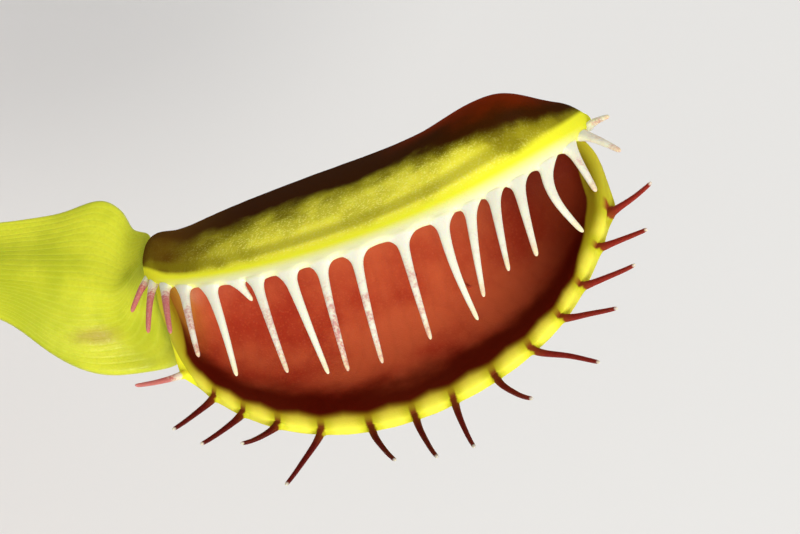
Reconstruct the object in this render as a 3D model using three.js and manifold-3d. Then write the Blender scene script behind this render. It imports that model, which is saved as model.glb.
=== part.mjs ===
/*
 * A potted Venus flytrap: ten leaves on one short rootstock, standing in peat in a plain round nursery pot.
 * Every leaf has a winged leaf stalk and a trap. A trap is two lobes that meet on a midrib, with a fringe of
 * long teeth on the edge of each lobe. Leaf 01 reaches out over the rim and carries the largest trap, half closed.
 *
 * Units are millimetres and degrees. +Z is up, and the origin is the middle of the pot's flat base.
 */
import * as THREE from "three";
import { mergeVertices } from "three/addons/utils/BufferGeometryUtils.js";
import Module from "manifold-3d";

const wasm = await Module();
wasm.setup();

// ---------- Driving dimensions ----------

const POT_HEIGHT = 80;
const POT_BASE_RADIUS = 31;
const POT_WALL = 1.6;
const POT_FLOOR = 2;
const POT_SIDES = 40;
const RIM_RADIUS = 45;
const RIM_BAND = 12; // height of the stepped band under the rim
const RIM_STEP = 1.6; // how far the band stands out from the body
const LIP = 1.4; // how far the rolled lip stands out from the band
const LIP_HEIGHT = 2.2;
const DRAIN_HOLES = 6;
const DRAIN_RADIUS = 3.5;
const DRAIN_RING = 21;

const SOIL_TOP = 70;
const SOIL_MOUND = 0.5; // how much higher the peat is in the middle
const SOIL_BUMP = 0.9;
const CLEARANCE = 0.35; // between pieces that touch on the real plant

const CROWN_RADIUS = 10.5;
const CROWN_DEPTH = 16; // how deep the rootstock goes into the peat
const CROWN_RISE = 5;
const CROWN_SIDES = 24;

const LOBE_THICKNESS = 0.7;
const MIDRIB_EXTRA = 0.5; // the midrib is this much thicker than the lobes
const TOOTH_LENGTH = 6.4; // the longest tooth of a full-size trap, apart from leaf 01
const TOOTH_RING = 0.4; // how far up a tooth has its ring of corners, as a share of its length
const TOOTH_WIDTH = 0.7; // at that ring
const TOOTH_DEPTH = 0.6;
const TOOTH_BEND = 12; // how much more a tooth curls at its tip than at its root
const WING_THICKNESS = 0.8;
const RIB_THICKNESS = 1.9; // the stalk's middle
const NECK_THICKNESS = 1.3;
const FOOT_THICKNESS = 1.1;
const NECK_GAP = 0.55; // from the neck's end to where the midrib starts
const NECK_DROP = 0.35; // how far below the midrib the neck ends
const FOOT_HEIGHT = 1.6; // how far above the peat the leaf stalks start, inside the rootstock

// Leaf 01, measured one by one: where each tooth stands from the stalk end (0) to the tip (1), how long it is, how
// far it curls over the mouth and how far it leans towards the tip.
const NEAR_TEETH = [
  [0.018, 3.4, -12, -17], [0.056, 4.6, -5, -6], [0.111, 5, -8, 3], [0.172, 6, 1, 4], [0.236, 6.4, 14, 5],
  [0.293, 1.7, 15, 24], [0.329, 6.6, 15, 6], [0.384, 7, 19, 8], [0.438, 7.1, 18, 1], [0.492, 7.2, 19, 0],
  [0.562, 6.9, 18, 2], [0.626, 6.9, 18, 5], [0.674, 6.2, 13, -4], [0.716, 5.8, 7, -1], [0.762, 5.6, 9, 1],
  [0.828, 5.2, 16, 11], [0.892, 3.8, 10, 13], [0.94, 3.9, -12, 32], [0.98, 2.2, -30, 50],
];
const FAR_TEETH = [
  [0.111, 4.2, 40, -35], [0.17, 4.6, 24, -25], [0.222, 4.8, 27, -24], [0.279, 4.9, 36, -17],
  [0.346, 5.2, 15, -22], [0.418, 5.2, 19, 19], [0.482, 5.2, 18, 15], [0.54, 5.2, 16, 12], [0.605, 5.2, 26, 27],
  [0.669, 5.4, 17, 46], [0.734, 5.2, 36, 47], [0.793, 4.8, 43, 51], [0.858, 4.4, 39, 46], [0.911, 4, 50, 50],
];

// Half the width of a leaf stalk, as a share of its widest half, by distance from the neck in widest halves. Leaf 01
// was measured, and its two sides differ.
const STALK_SIDE = [
  [0, 0.16], [0.1, 0.2], [0.28, 0.62], [0.55, 0.95], [0.85, 1], [1.3, 0.88], [2, 0.66], [3.4, 0.52], [6, 0.44],
  [9, 0.38],
];
const BROAD_LEFT = [
  [0, 0.16], [0.1, 0.2], [0.28, 0.78], [0.55, 1.09], [0.85, 1.13], [1.3, 0.98], [2, 0.75], [3.4, 0.52], [6, 0.44],
  [9, 0.38],
];
const BROAD_RIGHT = [
  [0, 0.16], [0.1, 0.2], [0.28, 0.78], [0.55, 0.79], [0.85, 0.86], [1.3, 0.72], [1.65, 0.51], [2, 0.45], [3.4, 0.47],
  [6, 0.43], [9, 0.38],
];
const STALK_STATIONS = [0, 0.1, 0.28, 0.55, 0.85, 1.3, 2, 3.4, 6];

// Lengths are for a full-size trap, about 27 mm from end to end; size scales the whole trap. heading is the compass
// direction of the midrib, climb is how steeply it points up, and roll is how far the mouth is tipped to the right.
// approach is the compass direction in which the stalk reaches the trap. Pairs are for the two lobes or the two sides
// of the stalk, the one on the left first. open is the angle between a lobe and the mouth's middle, bulge is how far
// the lobe bellies out, cup is how much a side of the stalk is raised, offset moves the stalk's broad end to the left
// and up, and sweep and droop draw its right side forward and down, under the trap.
const COMMON = {
  size: 1, turn: 0, bulge: [3.6, 3.6], lobeWidth: [12.4, 12.4], edgeCentre: [12.4, 12.4],
  edgeHalfLength: [13.6, 13.6], midribEnd: 24.4, sag: 1, swell: 0, toothCount: 10, halfWidth: 5, cup: [0.2, 0.2],
  stalkSides: [STALK_SIDE, STALK_SIDE], offset: [0, 0], sweep: 0, droop: 0, fine: false,
};
const LEAVES = [
  {
    name: "01", azimuth: -7.5, foot: 7, lift: 30, approach: -12, trapAt: [75.6, -8.5, 101],
    heading: 15.6, climb: 14, roll: 57.5, open: [19, 20], bulge: [1.4, 4.2], lobeWidth: [12.1, 16.4],
    edgeCentre: [12.7, 12.6], edgeHalfLength: [13.4, 14.35], midribEnd: 22.6, sag: 2.2, swell: 1.9,
    teeth: [NEAR_TEETH, FAR_TEETH], halfWidth: 4.9, cup: [-0.05, -0.25], stalkSides: [BROAD_LEFT, BROAD_RIGHT],
    offset: [-1.7, -1.2], sweep: 1.6, droop: 1.4, fine: true,
  },
  {
    name: "02", azimuth: 38, foot: 7, lift: 34, reach: 41, height: 93, turn: 8, climb: 30, roll: -14,
    size: 0.84, open: [44, 44],
  },
  {
    name: "03", azimuth: 84, foot: 7, lift: 26, reach: 46, height: 86, turn: -10, climb: 16, roll: 12,
    size: 0.9, open: [50, 50],
  },
  {
    name: "04", azimuth: 131, foot: 7, lift: 36, reach: 39, height: 95, turn: 6, climb: 34, roll: 10,
    size: 0.78, open: [40, 40],
  },
  {
    name: "05", azimuth: 177, foot: 7, lift: 24, reach: 47, height: 85, turn: 8, climb: 12, roll: -20,
    size: 0.92, open: [47, 47],
  },
  {
    name: "06", azimuth: 224, foot: 7, lift: 34, reach: 42, height: 92, turn: -6, climb: 26, roll: 14,
    size: 0.86, open: [36, 36],
  },
  {
    name: "07", azimuth: 272, foot: 7, lift: 27, reach: 44, height: 88, turn: 8, climb: 18, roll: 8,
    size: 0.88, open: [52, 52],
  },
  {
    name: "08", azimuth: 316, foot: 7, lift: 36, reach: 38, height: 94, turn: -6, climb: 30, roll: -10,
    size: 0.76, open: [42, 42],
  },
  {
    name: "09", azimuth: 60, foot: 2.9, lift: 62, reach: 15, height: 108, climb: 58, roll: 10,
    size: 0.62, open: [34, 34],
  },
  {
    name: "10", azimuth: 200, foot: 2.9, lift: 66, reach: 14, height: 104, climb: 62, roll: -8,
    size: 0.5, open: [22, 22],
  },
];

// ---------- Small helpers ----------

const radians = THREE.MathUtils.degToRad;
const vec = (x, y, z) => new THREE.Vector3(x, y, z);
const { lerp, clamp, smoothstep } = THREE.MathUtils;

// A repeatable number from -1 to 1 for whole numbers a and b.
function wobble(a, b) {
  const v = Math.sin(a * 127.1 + b * 311.7) * 43758.5453;
  return 2 * (v - Math.floor(v)) - 1;
}

// Straight-line interpolation in a list of [place, value] pairs.
function along(table, place) {
  if (place <= table[0][0]) return table[0][1];
  for (let i = 1; i < table.length; i++) {
    const [x0, y0] = table[i - 1];
    const [x1, y1] = table[i];
    if (place <= x1) return lerp(y0, y1, (place - x0) / (x1 - x0));
  }
  return table[table.length - 1][1];
}

// Collects points and faces, and gives them back as one closed geometry.
class Shell {
  constructor() {
    this.points = [];
    this.faces = [];
  }
  point(v) {
    this.points.push(v.x, v.y, v.z);
    return this.points.length / 3 - 1;
  }
  triangle(a, b, c) {
    this.faces.push(a, b, c);
  }
  quad(a, b, c, d) {
    this.faces.push(a, b, c, a, c, d);
  }
  geometry() {
    const g = new THREE.BufferGeometry();
    g.setAttribute("position", new THREE.Float32BufferAttribute(this.points, 3));
    g.setIndex(this.faces);
    return g;
  }
}

// A solid through rings of points that all have the same count, closed at both ends.
function loft(rings) {
  const shell = new Shell();
  const ids = rings.map((ring) => ring.map((p) => shell.point(p)));
  const n = rings[0].length;
  for (let k = 1; k < ids.length; k++)
    for (let i = 0; i < n; i++) {
      const j = (i + 1) % n;
      shell.quad(ids[k - 1][i], ids[k - 1][j], ids[k][j], ids[k][i]);
    }
  const last = ids[ids.length - 1];
  for (let i = 1; i < n - 1; i++) {
    shell.triangle(ids[0][0], ids[0][i + 1], ids[0][i]);
    shell.triangle(last[0], last[i], last[i + 1]);
  }
  return shell.geometry();
}

function solid(geometry) {
  const bare = geometry.clone();
  bare.deleteAttribute("normal");
  bare.deleteAttribute("uv");
  const merged = mergeVertices(bare, 1e-4);
  return new wasm.Manifold(
    new wasm.Mesh({
      numProp: 3,
      vertProperties: merged.attributes.position.array,
      triVerts: new Uint32Array(merged.index.array),
    }),
  );
}

function geometryOf(manifold) {
  const mesh = manifold.getMesh();
  const g = new THREE.BufferGeometry();
  g.setAttribute("position", new THREE.BufferAttribute(new Float32Array(mesh.vertProperties), 3));
  g.setIndex(new THREE.BufferAttribute(new Uint32Array(mesh.triVerts), 1));
  return g;
}

// A solid turned about Z from [radius, height] pairs.
function turned(profile, sides) {
  return new THREE.LatheGeometry(profile.map(([r, z]) => new THREE.Vector2(r, z)), sides).rotateX(Math.PI / 2);
}

// ---------- Trap ----------

// The trap's own axes: +X along the midrib away from the stalk, +Z out of the mouth, +Y towards the first lobe.
function trapFrame(leaf) {
  const heading = radians(leaf.heading ?? leaf.azimuth + leaf.turn);
  const climb = radians(leaf.climb);
  const roll = radians(leaf.roll);
  const x = vec(Math.cos(climb) * Math.cos(heading), Math.cos(climb) * Math.sin(heading), Math.sin(climb));
  const up = vec(-Math.sin(climb) * Math.cos(heading), -Math.sin(climb) * Math.sin(heading), Math.cos(climb));
  const left = up.clone().cross(x);
  const z = up.clone().multiplyScalar(Math.cos(roll)).addScaledVector(left, -Math.sin(roll));
  const y = z.clone().cross(x);
  const azimuth = radians(leaf.azimuth);
  const origin = leaf.trapAt
    ? vec(...leaf.trapAt)
    : vec(leaf.reach * Math.cos(azimuth), leaf.reach * Math.sin(azimuth), leaf.height);
  return new THREE.Matrix4().makeBasis(x, y, z).setPosition(origin);
}

const FIRST_ANGLE = 170; // a lobe's edge is a half oval, from near the stalk...
const LAST_ANGLE = 10; // ...to near the tip
const MIDRIB_START = 0.3;
const SWELL_AT = 19.5; // how far along the midrib the first lobe has its extra swelling
const SWELL_LENGTH = 2.6;
const BLUNTNESS = 0.4; // how soon a lobe's belly reaches its full depth from either end

// A point of a lobe's middle surface. s runs from the stalk end to the tip, t from the midrib to the edge.
function lobePoint(leaf, side, s, t) {
  const lobe = side > 0 ? 0 : 1;
  const angle = radians(lerp(FIRST_ANGLE, LAST_ANGLE, s));
  const rise = Math.sin(angle);
  const middle = (MIDRIB_START + leaf.midribEnd) / 2;
  const half = (leaf.midribEnd - MIDRIB_START) / 2;
  const midribX = middle + (half * Math.cos(angle)) / Math.cos(radians(LAST_ANGLE));
  const edgeX = leaf.edgeCentre[lobe] + leaf.edgeHalfLength[lobe] * Math.cos(angle);
  const width = leaf.lobeWidth[lobe] * rise;
  const open = radians(leaf.open[lobe]);
  const swell = side > 0 ? leaf.swell * Math.exp(-(((midribX - SWELL_AT) / SWELL_LENGTH) ** 2)) : 0;
  const out = (leaf.bulge[lobe] * Math.pow(rise, BLUNTNESS) + swell) * 4 * t * (1 - t);
  return vec(
    lerp(midribX, edgeX, t),
    side * (width * t * Math.sin(open) + out * Math.cos(open)),
    -leaf.sag * rise + width * t * Math.cos(open) - out * Math.sin(open),
  );
}

// Directions at a point of a lobe: along its length, and into the trap.
function lobeAxes(leaf, side, s, t) {
  const step = 0.004;
  const s0 = Math.max(0, s - step);
  const s1 = Math.min(1, s + step);
  const t0 = Math.max(0, t - step);
  const t1 = Math.min(1, t + step);
  const length = lobePoint(leaf, side, s1, t).sub(lobePoint(leaf, side, s0, t)).normalize();
  const across = lobePoint(leaf, side, s, t1).sub(lobePoint(leaf, side, s, t0));
  const inward = length.clone().cross(across).multiplyScalar(side).normalize();
  return { length, inward };
}

// The teeth of a lobe's edge, as rows of place, length, curl and lean. They are shorter and lean outwards near both
// ends, they curl back more the wider the trap is open, and no two are quite alike.
function teethOf(leaf, side) {
  if (leaf.teeth) return leaf.teeth[side > 0 ? 0 : 1];
  const pitch = 1 / (leaf.toothCount + 0.6);
  return Array.from({ length: leaf.toothCount }, (_, k) => {
    const place = (k + 0.8 + 0.1 * wobble(k, side + Number(leaf.name))) * pitch;
    const endShare = 0.5 + 0.5 * Math.sin(Math.PI * place) ** 0.6;
    const long = TOOTH_LENGTH * endShare * (1 + 0.1 * wobble(k + 40, side));
    const curl = 4 - leaf.open[0] * 0.45 + 4 * wobble(k + 60, side);
    const lean = 60 * (place - 0.5) * Math.abs(2 * place - 1) + 6 * wobble(k + 80, side);
    return [place, long, curl, lean];
  });
}

// Where the columns of a lobe's grid stand: a tooth stands between columns 1 and 2, 3 and 4, and so on. On leaf 01 a
// longer tooth has a wider root.
const PLAIN_ROOT = 0.022; // half of a root, as a share of the edge
const WIDEST_ROOT = 0.012;

function columns(leaf, side) {
  const places = [0];
  for (const [place, long] of teethOf(leaf, side)) {
    const half = leaf.fine ? Math.min(WIDEST_ROOT, 0.004 + 0.0016 * long) : PLAIN_ROOT;
    places.push(place - half, place + half);
  }
  places.push(1);
  return places;
}

// One tooth: a four-sided spike that bends over the mouth, from the four corners of its root.
function addTooth(shell, leaf, side, tooth, root) {
  const [place, long, curl, lean] = tooth;
  const start = lobePoint(leaf, side, place, 1);
  const direction = (share) => {
    const over = radians(curl - TOOTH_BEND * (1 - share));
    return vec(Math.tan(radians(lean)), -side * Math.tan(over), 1).normalize();
  };
  const at = (share) => start.clone().addScaledVector(direction(share), long * share);
  const { length } = lobeAxes(leaf, side, place, 1);
  const middle = at(TOOTH_RING);
  const along = direction(TOOTH_RING);
  const wide = length.addScaledVector(along, -length.dot(along)).normalize();
  const deep = wide.clone().cross(along).multiplyScalar(side);
  const corner = (a, b) =>
    shell.point(
      middle.clone().addScaledVector(wide, (a * TOOTH_WIDTH) / 2).addScaledVector(deep, (b * TOOTH_DEPTH) / 2),
    );
  const ring = [corner(-1, 1), corner(1, 1), corner(1, -1), corner(-1, -1)];
  const tip = shell.point(at(1));
  for (let i = 0; i < 4; i++) {
    const j = (i + 1) % 4;
    if (side > 0) {
      shell.quad(root[i], root[j], ring[j], ring[i]);
      shell.triangle(ring[i], ring[j], tip);
    } else {
      shell.quad(root[j], root[i], ring[i], ring[j]);
      shell.triangle(ring[j], ring[i], tip);
    }
  }
}

// One lobe's two faces, its edge with the teeth, and its two ends. Returns the rows next to the midrib.
function addLobe(shell, leaf, side, rows) {
  const places = columns(leaf, side);
  const half = LOBE_THICKNESS / 2 / leaf.size;
  const inner = [];
  const outer = [];
  for (const t of rows) {
    const innerRow = [];
    const outerRow = [];
    for (const s of places) {
      const p = lobePoint(leaf, side, s, t);
      const { inward } = lobeAxes(leaf, side, s, t);
      const extra = MIDRIB_EXTRA * Math.exp(-((t / 0.12) ** 2));
      innerRow.push(shell.point(p.clone().addScaledVector(inward, half)));
      outerRow.push(shell.point(p.clone().addScaledVector(inward, -half - extra)));
    }
    inner.push(innerRow);
    outer.push(outerRow);
  }
  const face = (a, b, c, d) => (side > 0 ? shell.quad(a, b, c, d) : shell.quad(d, c, b, a));
  const n = places.length;
  for (let j = 1; j < rows.length; j++)
    for (let i = 1; i < n; i++) {
      face(inner[j - 1][i - 1], inner[j - 1][i], inner[j][i], inner[j][i - 1]);
      face(outer[j - 1][i], outer[j - 1][i - 1], outer[j][i - 1], outer[j][i]);
    }
  const topIn = inner[rows.length - 1];
  const topOut = outer[rows.length - 1];
  const teeth = teethOf(leaf, side);
  for (let i = 1; i < n; i++) {
    const corners = [topIn[i - 1], topIn[i], topOut[i], topOut[i - 1]];
    if (i % 2 === 0) addTooth(shell, leaf, side, teeth[i / 2 - 1], corners);
    else face(...corners);
  }
  for (let j = 1; j < rows.length; j++) {
    face(inner[j - 1][0], inner[j][0], outer[j][0], outer[j - 1][0]);
    face(inner[j][n - 1], inner[j - 1][n - 1], outer[j - 1][n - 1], outer[j][n - 1]);
  }
  return { inner: inner[0], outer: outer[0], places };
}

// Triangles between two rows of points that run side by side but have different counts.
function zip(shell, rowA, placesA, rowB, placesB, flip) {
  let a = 0;
  let b = 0;
  const put = (p, q, r) => (flip ? shell.triangle(p, r, q) : shell.triangle(p, q, r));
  while (a < rowA.length - 1 || b < rowB.length - 1) {
    const nextA = a < rowA.length - 1 ? placesA[a + 1] : Infinity;
    const nextB = b < rowB.length - 1 ? placesB[b + 1] : Infinity;
    if (nextA <= nextB) {
      put(rowA[a], rowB[b], rowA[a + 1]);
      a += 1;
    } else {
      put(rowA[a], rowB[b], rowB[b + 1]);
      b += 1;
    }
  }
}

// Where the rows of a lobe stand, from the midrib to the edge.
const FINE_ROWS = [0.09, 0.32, 0.55, 0.78, 1];
const PLAIN_ROWS = [0.12, 0.42, 0.72, 1];

function trapGeometry(leaf) {
  const shell = new Shell();
  const rows = leaf.fine ? FINE_ROWS : PLAIN_ROWS;
  const first = addLobe(shell, leaf, 1, rows);
  const second = addLobe(shell, leaf, -1, rows);
  zip(shell, first.inner, first.places, second.inner, second.places, false);
  zip(shell, first.outer, first.places, second.outer, second.places, true);
  const endQuad = (i, j) => [first.inner.at(i), first.outer.at(i), second.outer.at(j), second.inner.at(j)];
  shell.quad(...endQuad(0, 0));
  shell.quad(...endQuad(-1, -1).reverse());
  const g = shell.geometry();
  g.scale(leaf.size, leaf.size, leaf.size);
  return g;
}

// ---------- Leaf stalk ----------

// Smaller leaves have narrower stalks.
const widestHalf = (leaf) => leaf.halfWidth * Math.pow(leaf.size, 0.7);

const FOOT_PULL = 0.36; // how far the stalk keeps the direction it has at its foot, as a share of its span
const NECK_PULL = 0.34; // and the direction it has at its neck
const NECK_CLIMB = 0.7; // the neck climbs a little less than the midrib does

function stalkCurve(leaf, frame) {
  const azimuth = radians(leaf.azimuth);
  const lift = radians(leaf.lift);
  const out = vec(Math.cos(azimuth), Math.sin(azimuth), 0);
  const foot = out.clone().multiplyScalar(leaf.foot).add(vec(0, 0, SOIL_TOP + FOOT_HEIGHT));
  const neck = vec(-NECK_GAP - 0.6 * (1 - leaf.size), 0, -NECK_DROP * leaf.size).applyMatrix4(frame);
  const span = neck.distanceTo(foot);
  const rise = foot
    .clone()
    .addScaledVector(out, FOOT_PULL * span * Math.cos(lift))
    .add(vec(0, 0, FOOT_PULL * span * Math.sin(lift)));
  const heading = radians(leaf.approach ?? leaf.azimuth + leaf.turn / 2);
  const end = vec(Math.cos(heading), Math.sin(heading), Math.sin(radians(leaf.climb)) * NECK_CLIMB).normalize();
  return new THREE.CubicBezierCurve3(foot, rise, neck.clone().addScaledVector(end, -NECK_PULL * span), neck);
}

const NECK_LENGTH = 0.5; // in widest halves
const FOOT_LENGTH = 0.1; // as a share of the stalk
const WAVE_HEIGHT = 0.3; // of the stalk's wavy edges
const SWEEP_REACH = 1.4; // how far behind the neck sweep and droop begin, in widest halves

// The stalk's cross-section at share u: a thin wing on each side of a thicker rib, tilted up a little at the edges.
function stalkRing(leaf, curve, length, u, grow) {
  const forward = curve.getTangentAt(u);
  const left = vec(0, 0, 1).cross(forward).normalize();
  const up = forward.clone().cross(left).normalize();
  const widest = widestHalf(leaf);
  const fromNeck = ((1 - u) * length) / widest;
  const neckShare = clamp(1 - fromNeck / NECK_LENGTH, 0, 1);
  const footShare = clamp(1 - u / FOOT_LENGTH, 0, 1);
  const bend = smoothstep(fromNeck, 0, 0.4) * (1 - smoothstep(fromNeck, 2, 9));
  const centre = curve
    .getPointAt(u)
    .addScaledVector(left, leaf.offset[0] * bend)
    .addScaledVector(up, leaf.offset[1] * bend);
  const edge = lerp(WING_THICKNESS, FOOT_THICKNESS, Math.max(neckShare, footShare)) / 2 + grow;
  const rib = lerp(RIB_THICKNESS, NECK_THICKNESS, neckShare) / 2 + grow;
  const across = leaf.fine ? [-1, -0.5, 0, 0.5, 1] : [-1, 0, 1];
  const place = (share, depth) => {
    const wing = share > 0 ? 0 : 1;
    const half = widest * along(leaf.stalkSides[wing], fromNeck);
    const wave = WAVE_HEIGHT * Math.sin(fromNeck * 2.2 + share * 2 + leaf.azimuth);
    const raise = (leaf.cup[wing] * half + wave) * Math.abs(share) * (1 - neckShare);
    const front = wing === 1 ? -share * clamp(SWEEP_REACH - fromNeck, 0, 1) * (1 - neckShare ** 4) : 0;
    return centre
      .clone()
      .addScaledVector(forward, leaf.sweep * front * (-share) ** 3)
      .addScaledVector(left, share * (half + grow))
      .addScaledVector(up, raise + depth - leaf.droop * front);
  };
  const thick = (share) => lerp(rib, edge, Math.min(1, Math.abs(share) * 1.5));
  const under = across.map((share) => place(share, -thick(share)));
  const over = across.map((share) => place(share, thick(share))).reverse();
  return [...under, ...over];
}

// Shares of the stalk at which it has a ring: those of the outline, and three near the foot.
function stalkStations(leaf, length) {
  const footStations = [0.22, 0.1, 0];
  const places = STALK_STATIONS.map((d) => 1 - (d * widestHalf(leaf)) / length).filter((u) => u > 0.3);
  return [...places, ...footStations].sort((a, b) => a - b);
}

function stalkGeometry(leaf, frame, grow = 0) {
  const curve = stalkCurve(leaf, frame);
  const length = curve.getLength();
  const rings = stalkStations(leaf, length).map((u) => stalkRing(leaf, curve, length, u, grow));
  return loft(rings);
}

// ---------- Pot, peat and rootstock ----------

const BAND_RADIUS = RIM_RADIUS - LIP;
const BAND_BOTTOM = POT_HEIGHT - RIM_BAND;

// Radius of the pot's outer wall at height z, below the rim band.
const wallRadius = (z) => lerp(POT_BASE_RADIUS, BAND_RADIUS - RIM_STEP, z / BAND_BOTTOM);

// The profile goes up the outside, over the lip and down the inside. The small offsets are chamfers.
function potGeometry() {
  const bodyTop = wallRadius(BAND_BOTTOM);
  const lipBottom = POT_HEIGHT - LIP_HEIGHT;
  const profile = [
    [0, 0], [POT_BASE_RADIUS - 1, 0], [POT_BASE_RADIUS, 1],
    [bodyTop, BAND_BOTTOM], [BAND_RADIUS, BAND_BOTTOM + 1],
    [BAND_RADIUS, lipBottom], [RIM_RADIUS, lipBottom + 0.4],
    [RIM_RADIUS, POT_HEIGHT - 0.4], [RIM_RADIUS - 0.5, POT_HEIGHT],
    [BAND_RADIUS - POT_WALL, POT_HEIGHT],
    [BAND_RADIUS - POT_WALL, BAND_BOTTOM + 2.5], [bodyTop - POT_WALL, BAND_BOTTOM + 1],
    [wallRadius(POT_FLOOR) - POT_WALL, POT_FLOOR], [0, POT_FLOOR],
  ];
  let pot = solid(turned(profile, POT_SIDES));
  for (let k = 0; k < DRAIN_HOLES; k++) {
    const angle = (2 * Math.PI * (k + 0.5)) / DRAIN_HOLES;
    const hole = new THREE.CylinderGeometry(DRAIN_RADIUS, DRAIN_RADIUS, 8, 12).rotateX(Math.PI / 2);
    hole.translate(DRAIN_RING * Math.cos(angle), DRAIN_RING * Math.sin(angle), 1);
    pot = pot.subtract(solid(hole));
  }
  return geometryOf(pot);
}

// The peat's surface: a low mound with lumps.
function soilHeight(x, y) {
  const r = Math.hypot(x, y);
  const lumps = Math.sin(x * 0.55 + 1.3) * Math.cos(y * 0.48) + 0.6 * Math.sin(x * 0.23 - y * 0.7);
  return SOIL_TOP + SOIL_MOUND * Math.exp(-((r / 22) ** 2)) + SOIL_BUMP * lumps * Math.min(1, (40 - r) / 8);
}

function soilGeometry(crownHole) {
  const shell = new Shell();
  const topRadius = wallRadius(BAND_BOTTOM) - POT_WALL - CLEARANCE;
  const floor = POT_FLOOR + CLEARANCE;
  const floorRadius = wallRadius(POT_FLOOR) - POT_WALL - CLEARANCE;
  const shoulder = BAND_BOTTOM + 0.5;
  const ringRadii = [topRadius, 34, 27, 20, 12.5];
  const ring = (radius, height) =>
    Array.from({ length: POT_SIDES }, (_, i) => {
      const angle = (2 * Math.PI * i) / POT_SIDES;
      const x = radius * Math.sin(angle);
      const y = -radius * Math.cos(angle);
      return shell.point(vec(x, y, height ?? soilHeight(x, y)));
    });
  const rings = [ring(floorRadius, floor), ring(topRadius, shoulder), ...ringRadii.slice(1).map((r) => ring(r))];
  const n = POT_SIDES;
  for (let k = 1; k < rings.length; k++)
    for (let i = 0; i < n; i++) {
      const j = (i + 1) % n;
      shell.quad(rings[k - 1][i], rings[k - 1][j], rings[k][j], rings[k][i]);
    }
  const bottom = shell.point(vec(0, 0, floor));
  const top = shell.point(vec(0, 0, SOIL_TOP + SOIL_MOUND));
  const last = rings[rings.length - 1];
  for (let i = 0; i < n; i++) {
    const j = (i + 1) % n;
    shell.triangle(bottom, rings[0][j], rings[0][i]);
    shell.triangle(top, last[i], last[j]);
  }
  return geometryOf(solid(shell.geometry()).subtract(crownHole));
}

// The rootstock: a short carrot with a low scaly dome, seen where the leaves come out of the peat.
function crownProfile(grow) {
  const z = SOIL_TOP;
  return [
    [0, z - CROWN_DEPTH - grow], [3.5 + grow, z - CROWN_DEPTH + 2 - grow], [7 + grow, z - 8],
    [CROWN_RADIUS + grow, z - 1], [CROWN_RADIUS + grow, z + 1.8 + grow], [7.5 + grow, z + CROWN_RISE - 0.8 + grow],
    [0, z + CROWN_RISE + grow],
  ];
}

// ---------- The plant ----------

const leaves = LEAVES.map((row) => ({ ...COMMON, ...row }));
const finish = {
  pot: new THREE.MeshStandardMaterial({ color: 0x8a4a33, roughness: 0.62, metalness: 0 }),
  soil: new THREE.MeshStandardMaterial({ color: 0x2e2018, roughness: 0.95, metalness: 0 }),
  crown: new THREE.MeshStandardMaterial({ color: 0xb9bf78, roughness: 0.55, metalness: 0 }),
  stalk: new THREE.MeshStandardMaterial({ color: 0xaebf1c, roughness: 0.42, metalness: 0 }),
  trap: new THREE.MeshStandardMaterial({ color: 0x9c3324, roughness: 0.42, metalness: 0 }),
};

const plant = new THREE.Group();
function place(name, geometry, material, matrix) {
  const mesh = new THREE.Mesh(geometry, material);
  mesh.name = name;
  if (matrix) mesh.applyMatrix4(matrix);
  plant.add(mesh);
}

let crown = solid(turned(crownProfile(0), CROWN_SIDES));
for (const leaf of leaves) {
  const frame = trapFrame(leaf);
  place(`trap_${leaf.name}`, trapGeometry(leaf), finish.trap, frame);
  place(`leaf_stalk_${leaf.name}`, stalkGeometry(leaf, frame), finish.stalk);
  crown = crown.subtract(solid(stalkGeometry(leaf, frame, CLEARANCE)));
}
place("rootstock", geometryOf(crown), finish.crown);
place("peat", soilGeometry(solid(turned(crownProfile(CLEARANCE), CROWN_SIDES))), finish.soil);
place("pot", potGeometry(), finish.pot);

export default plant;
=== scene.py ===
# %% [markdown]
# # A potted Venus flytrap
# The plant has ten leaves on a short rootstock, in peat, in a plain round pot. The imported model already
# holds every piece as a plain solid, so this lesson starts from it. The plain solids could be painted as
# they are, but their faces are too coarse for a close view. So each piece is made again with a finer mesh
# and a finish of its own, in the same place, and it still stands for the solid it covers.

# %% Load the plain model
import math
import random

import bmesh
import bpy
import numpy as np
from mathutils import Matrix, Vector, noise


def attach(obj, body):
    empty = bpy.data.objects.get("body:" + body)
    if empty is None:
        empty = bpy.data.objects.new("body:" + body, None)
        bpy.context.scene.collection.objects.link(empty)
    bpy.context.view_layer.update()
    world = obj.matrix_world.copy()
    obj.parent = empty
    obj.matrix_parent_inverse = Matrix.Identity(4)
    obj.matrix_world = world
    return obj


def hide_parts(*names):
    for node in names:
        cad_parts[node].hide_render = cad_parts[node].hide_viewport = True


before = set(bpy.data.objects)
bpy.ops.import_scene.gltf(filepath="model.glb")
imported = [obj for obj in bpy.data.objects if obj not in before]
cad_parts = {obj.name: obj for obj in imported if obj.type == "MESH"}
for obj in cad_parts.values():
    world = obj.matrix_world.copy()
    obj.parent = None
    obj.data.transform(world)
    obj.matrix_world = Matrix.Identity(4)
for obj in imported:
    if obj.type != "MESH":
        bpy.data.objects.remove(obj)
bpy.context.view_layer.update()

print("plain model:", len(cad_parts), "nodes")

# %% [markdown]
# ## Units and small helpers
# Sizes of a plant are easiest to think of in millimetres, but Blender works in metres. Every shape below is
# worked out in millimetres with numpy, and one helper turns points and faces into a Blender object at the
# end. A fine mesh could be written point by point, but a coarse cage with a subdivision modifier keeps the
# lists short and the surfaces smooth.

# %% Helpers for points
MM = 0.001


def unit(v):
    return v / np.linalg.norm(v)


def lerp(a, b, share):
    return a + (b - a) * share


def clamp(x):
    """The same number, kept between 0 and 1."""
    return min(1, max(0, x))


def ramp(low, high, x):
    """0 below low, 1 above high, and a soft S in between."""
    share = clamp((x - low) / (high - low))
    return share * share * (3 - 2 * share)


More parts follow.
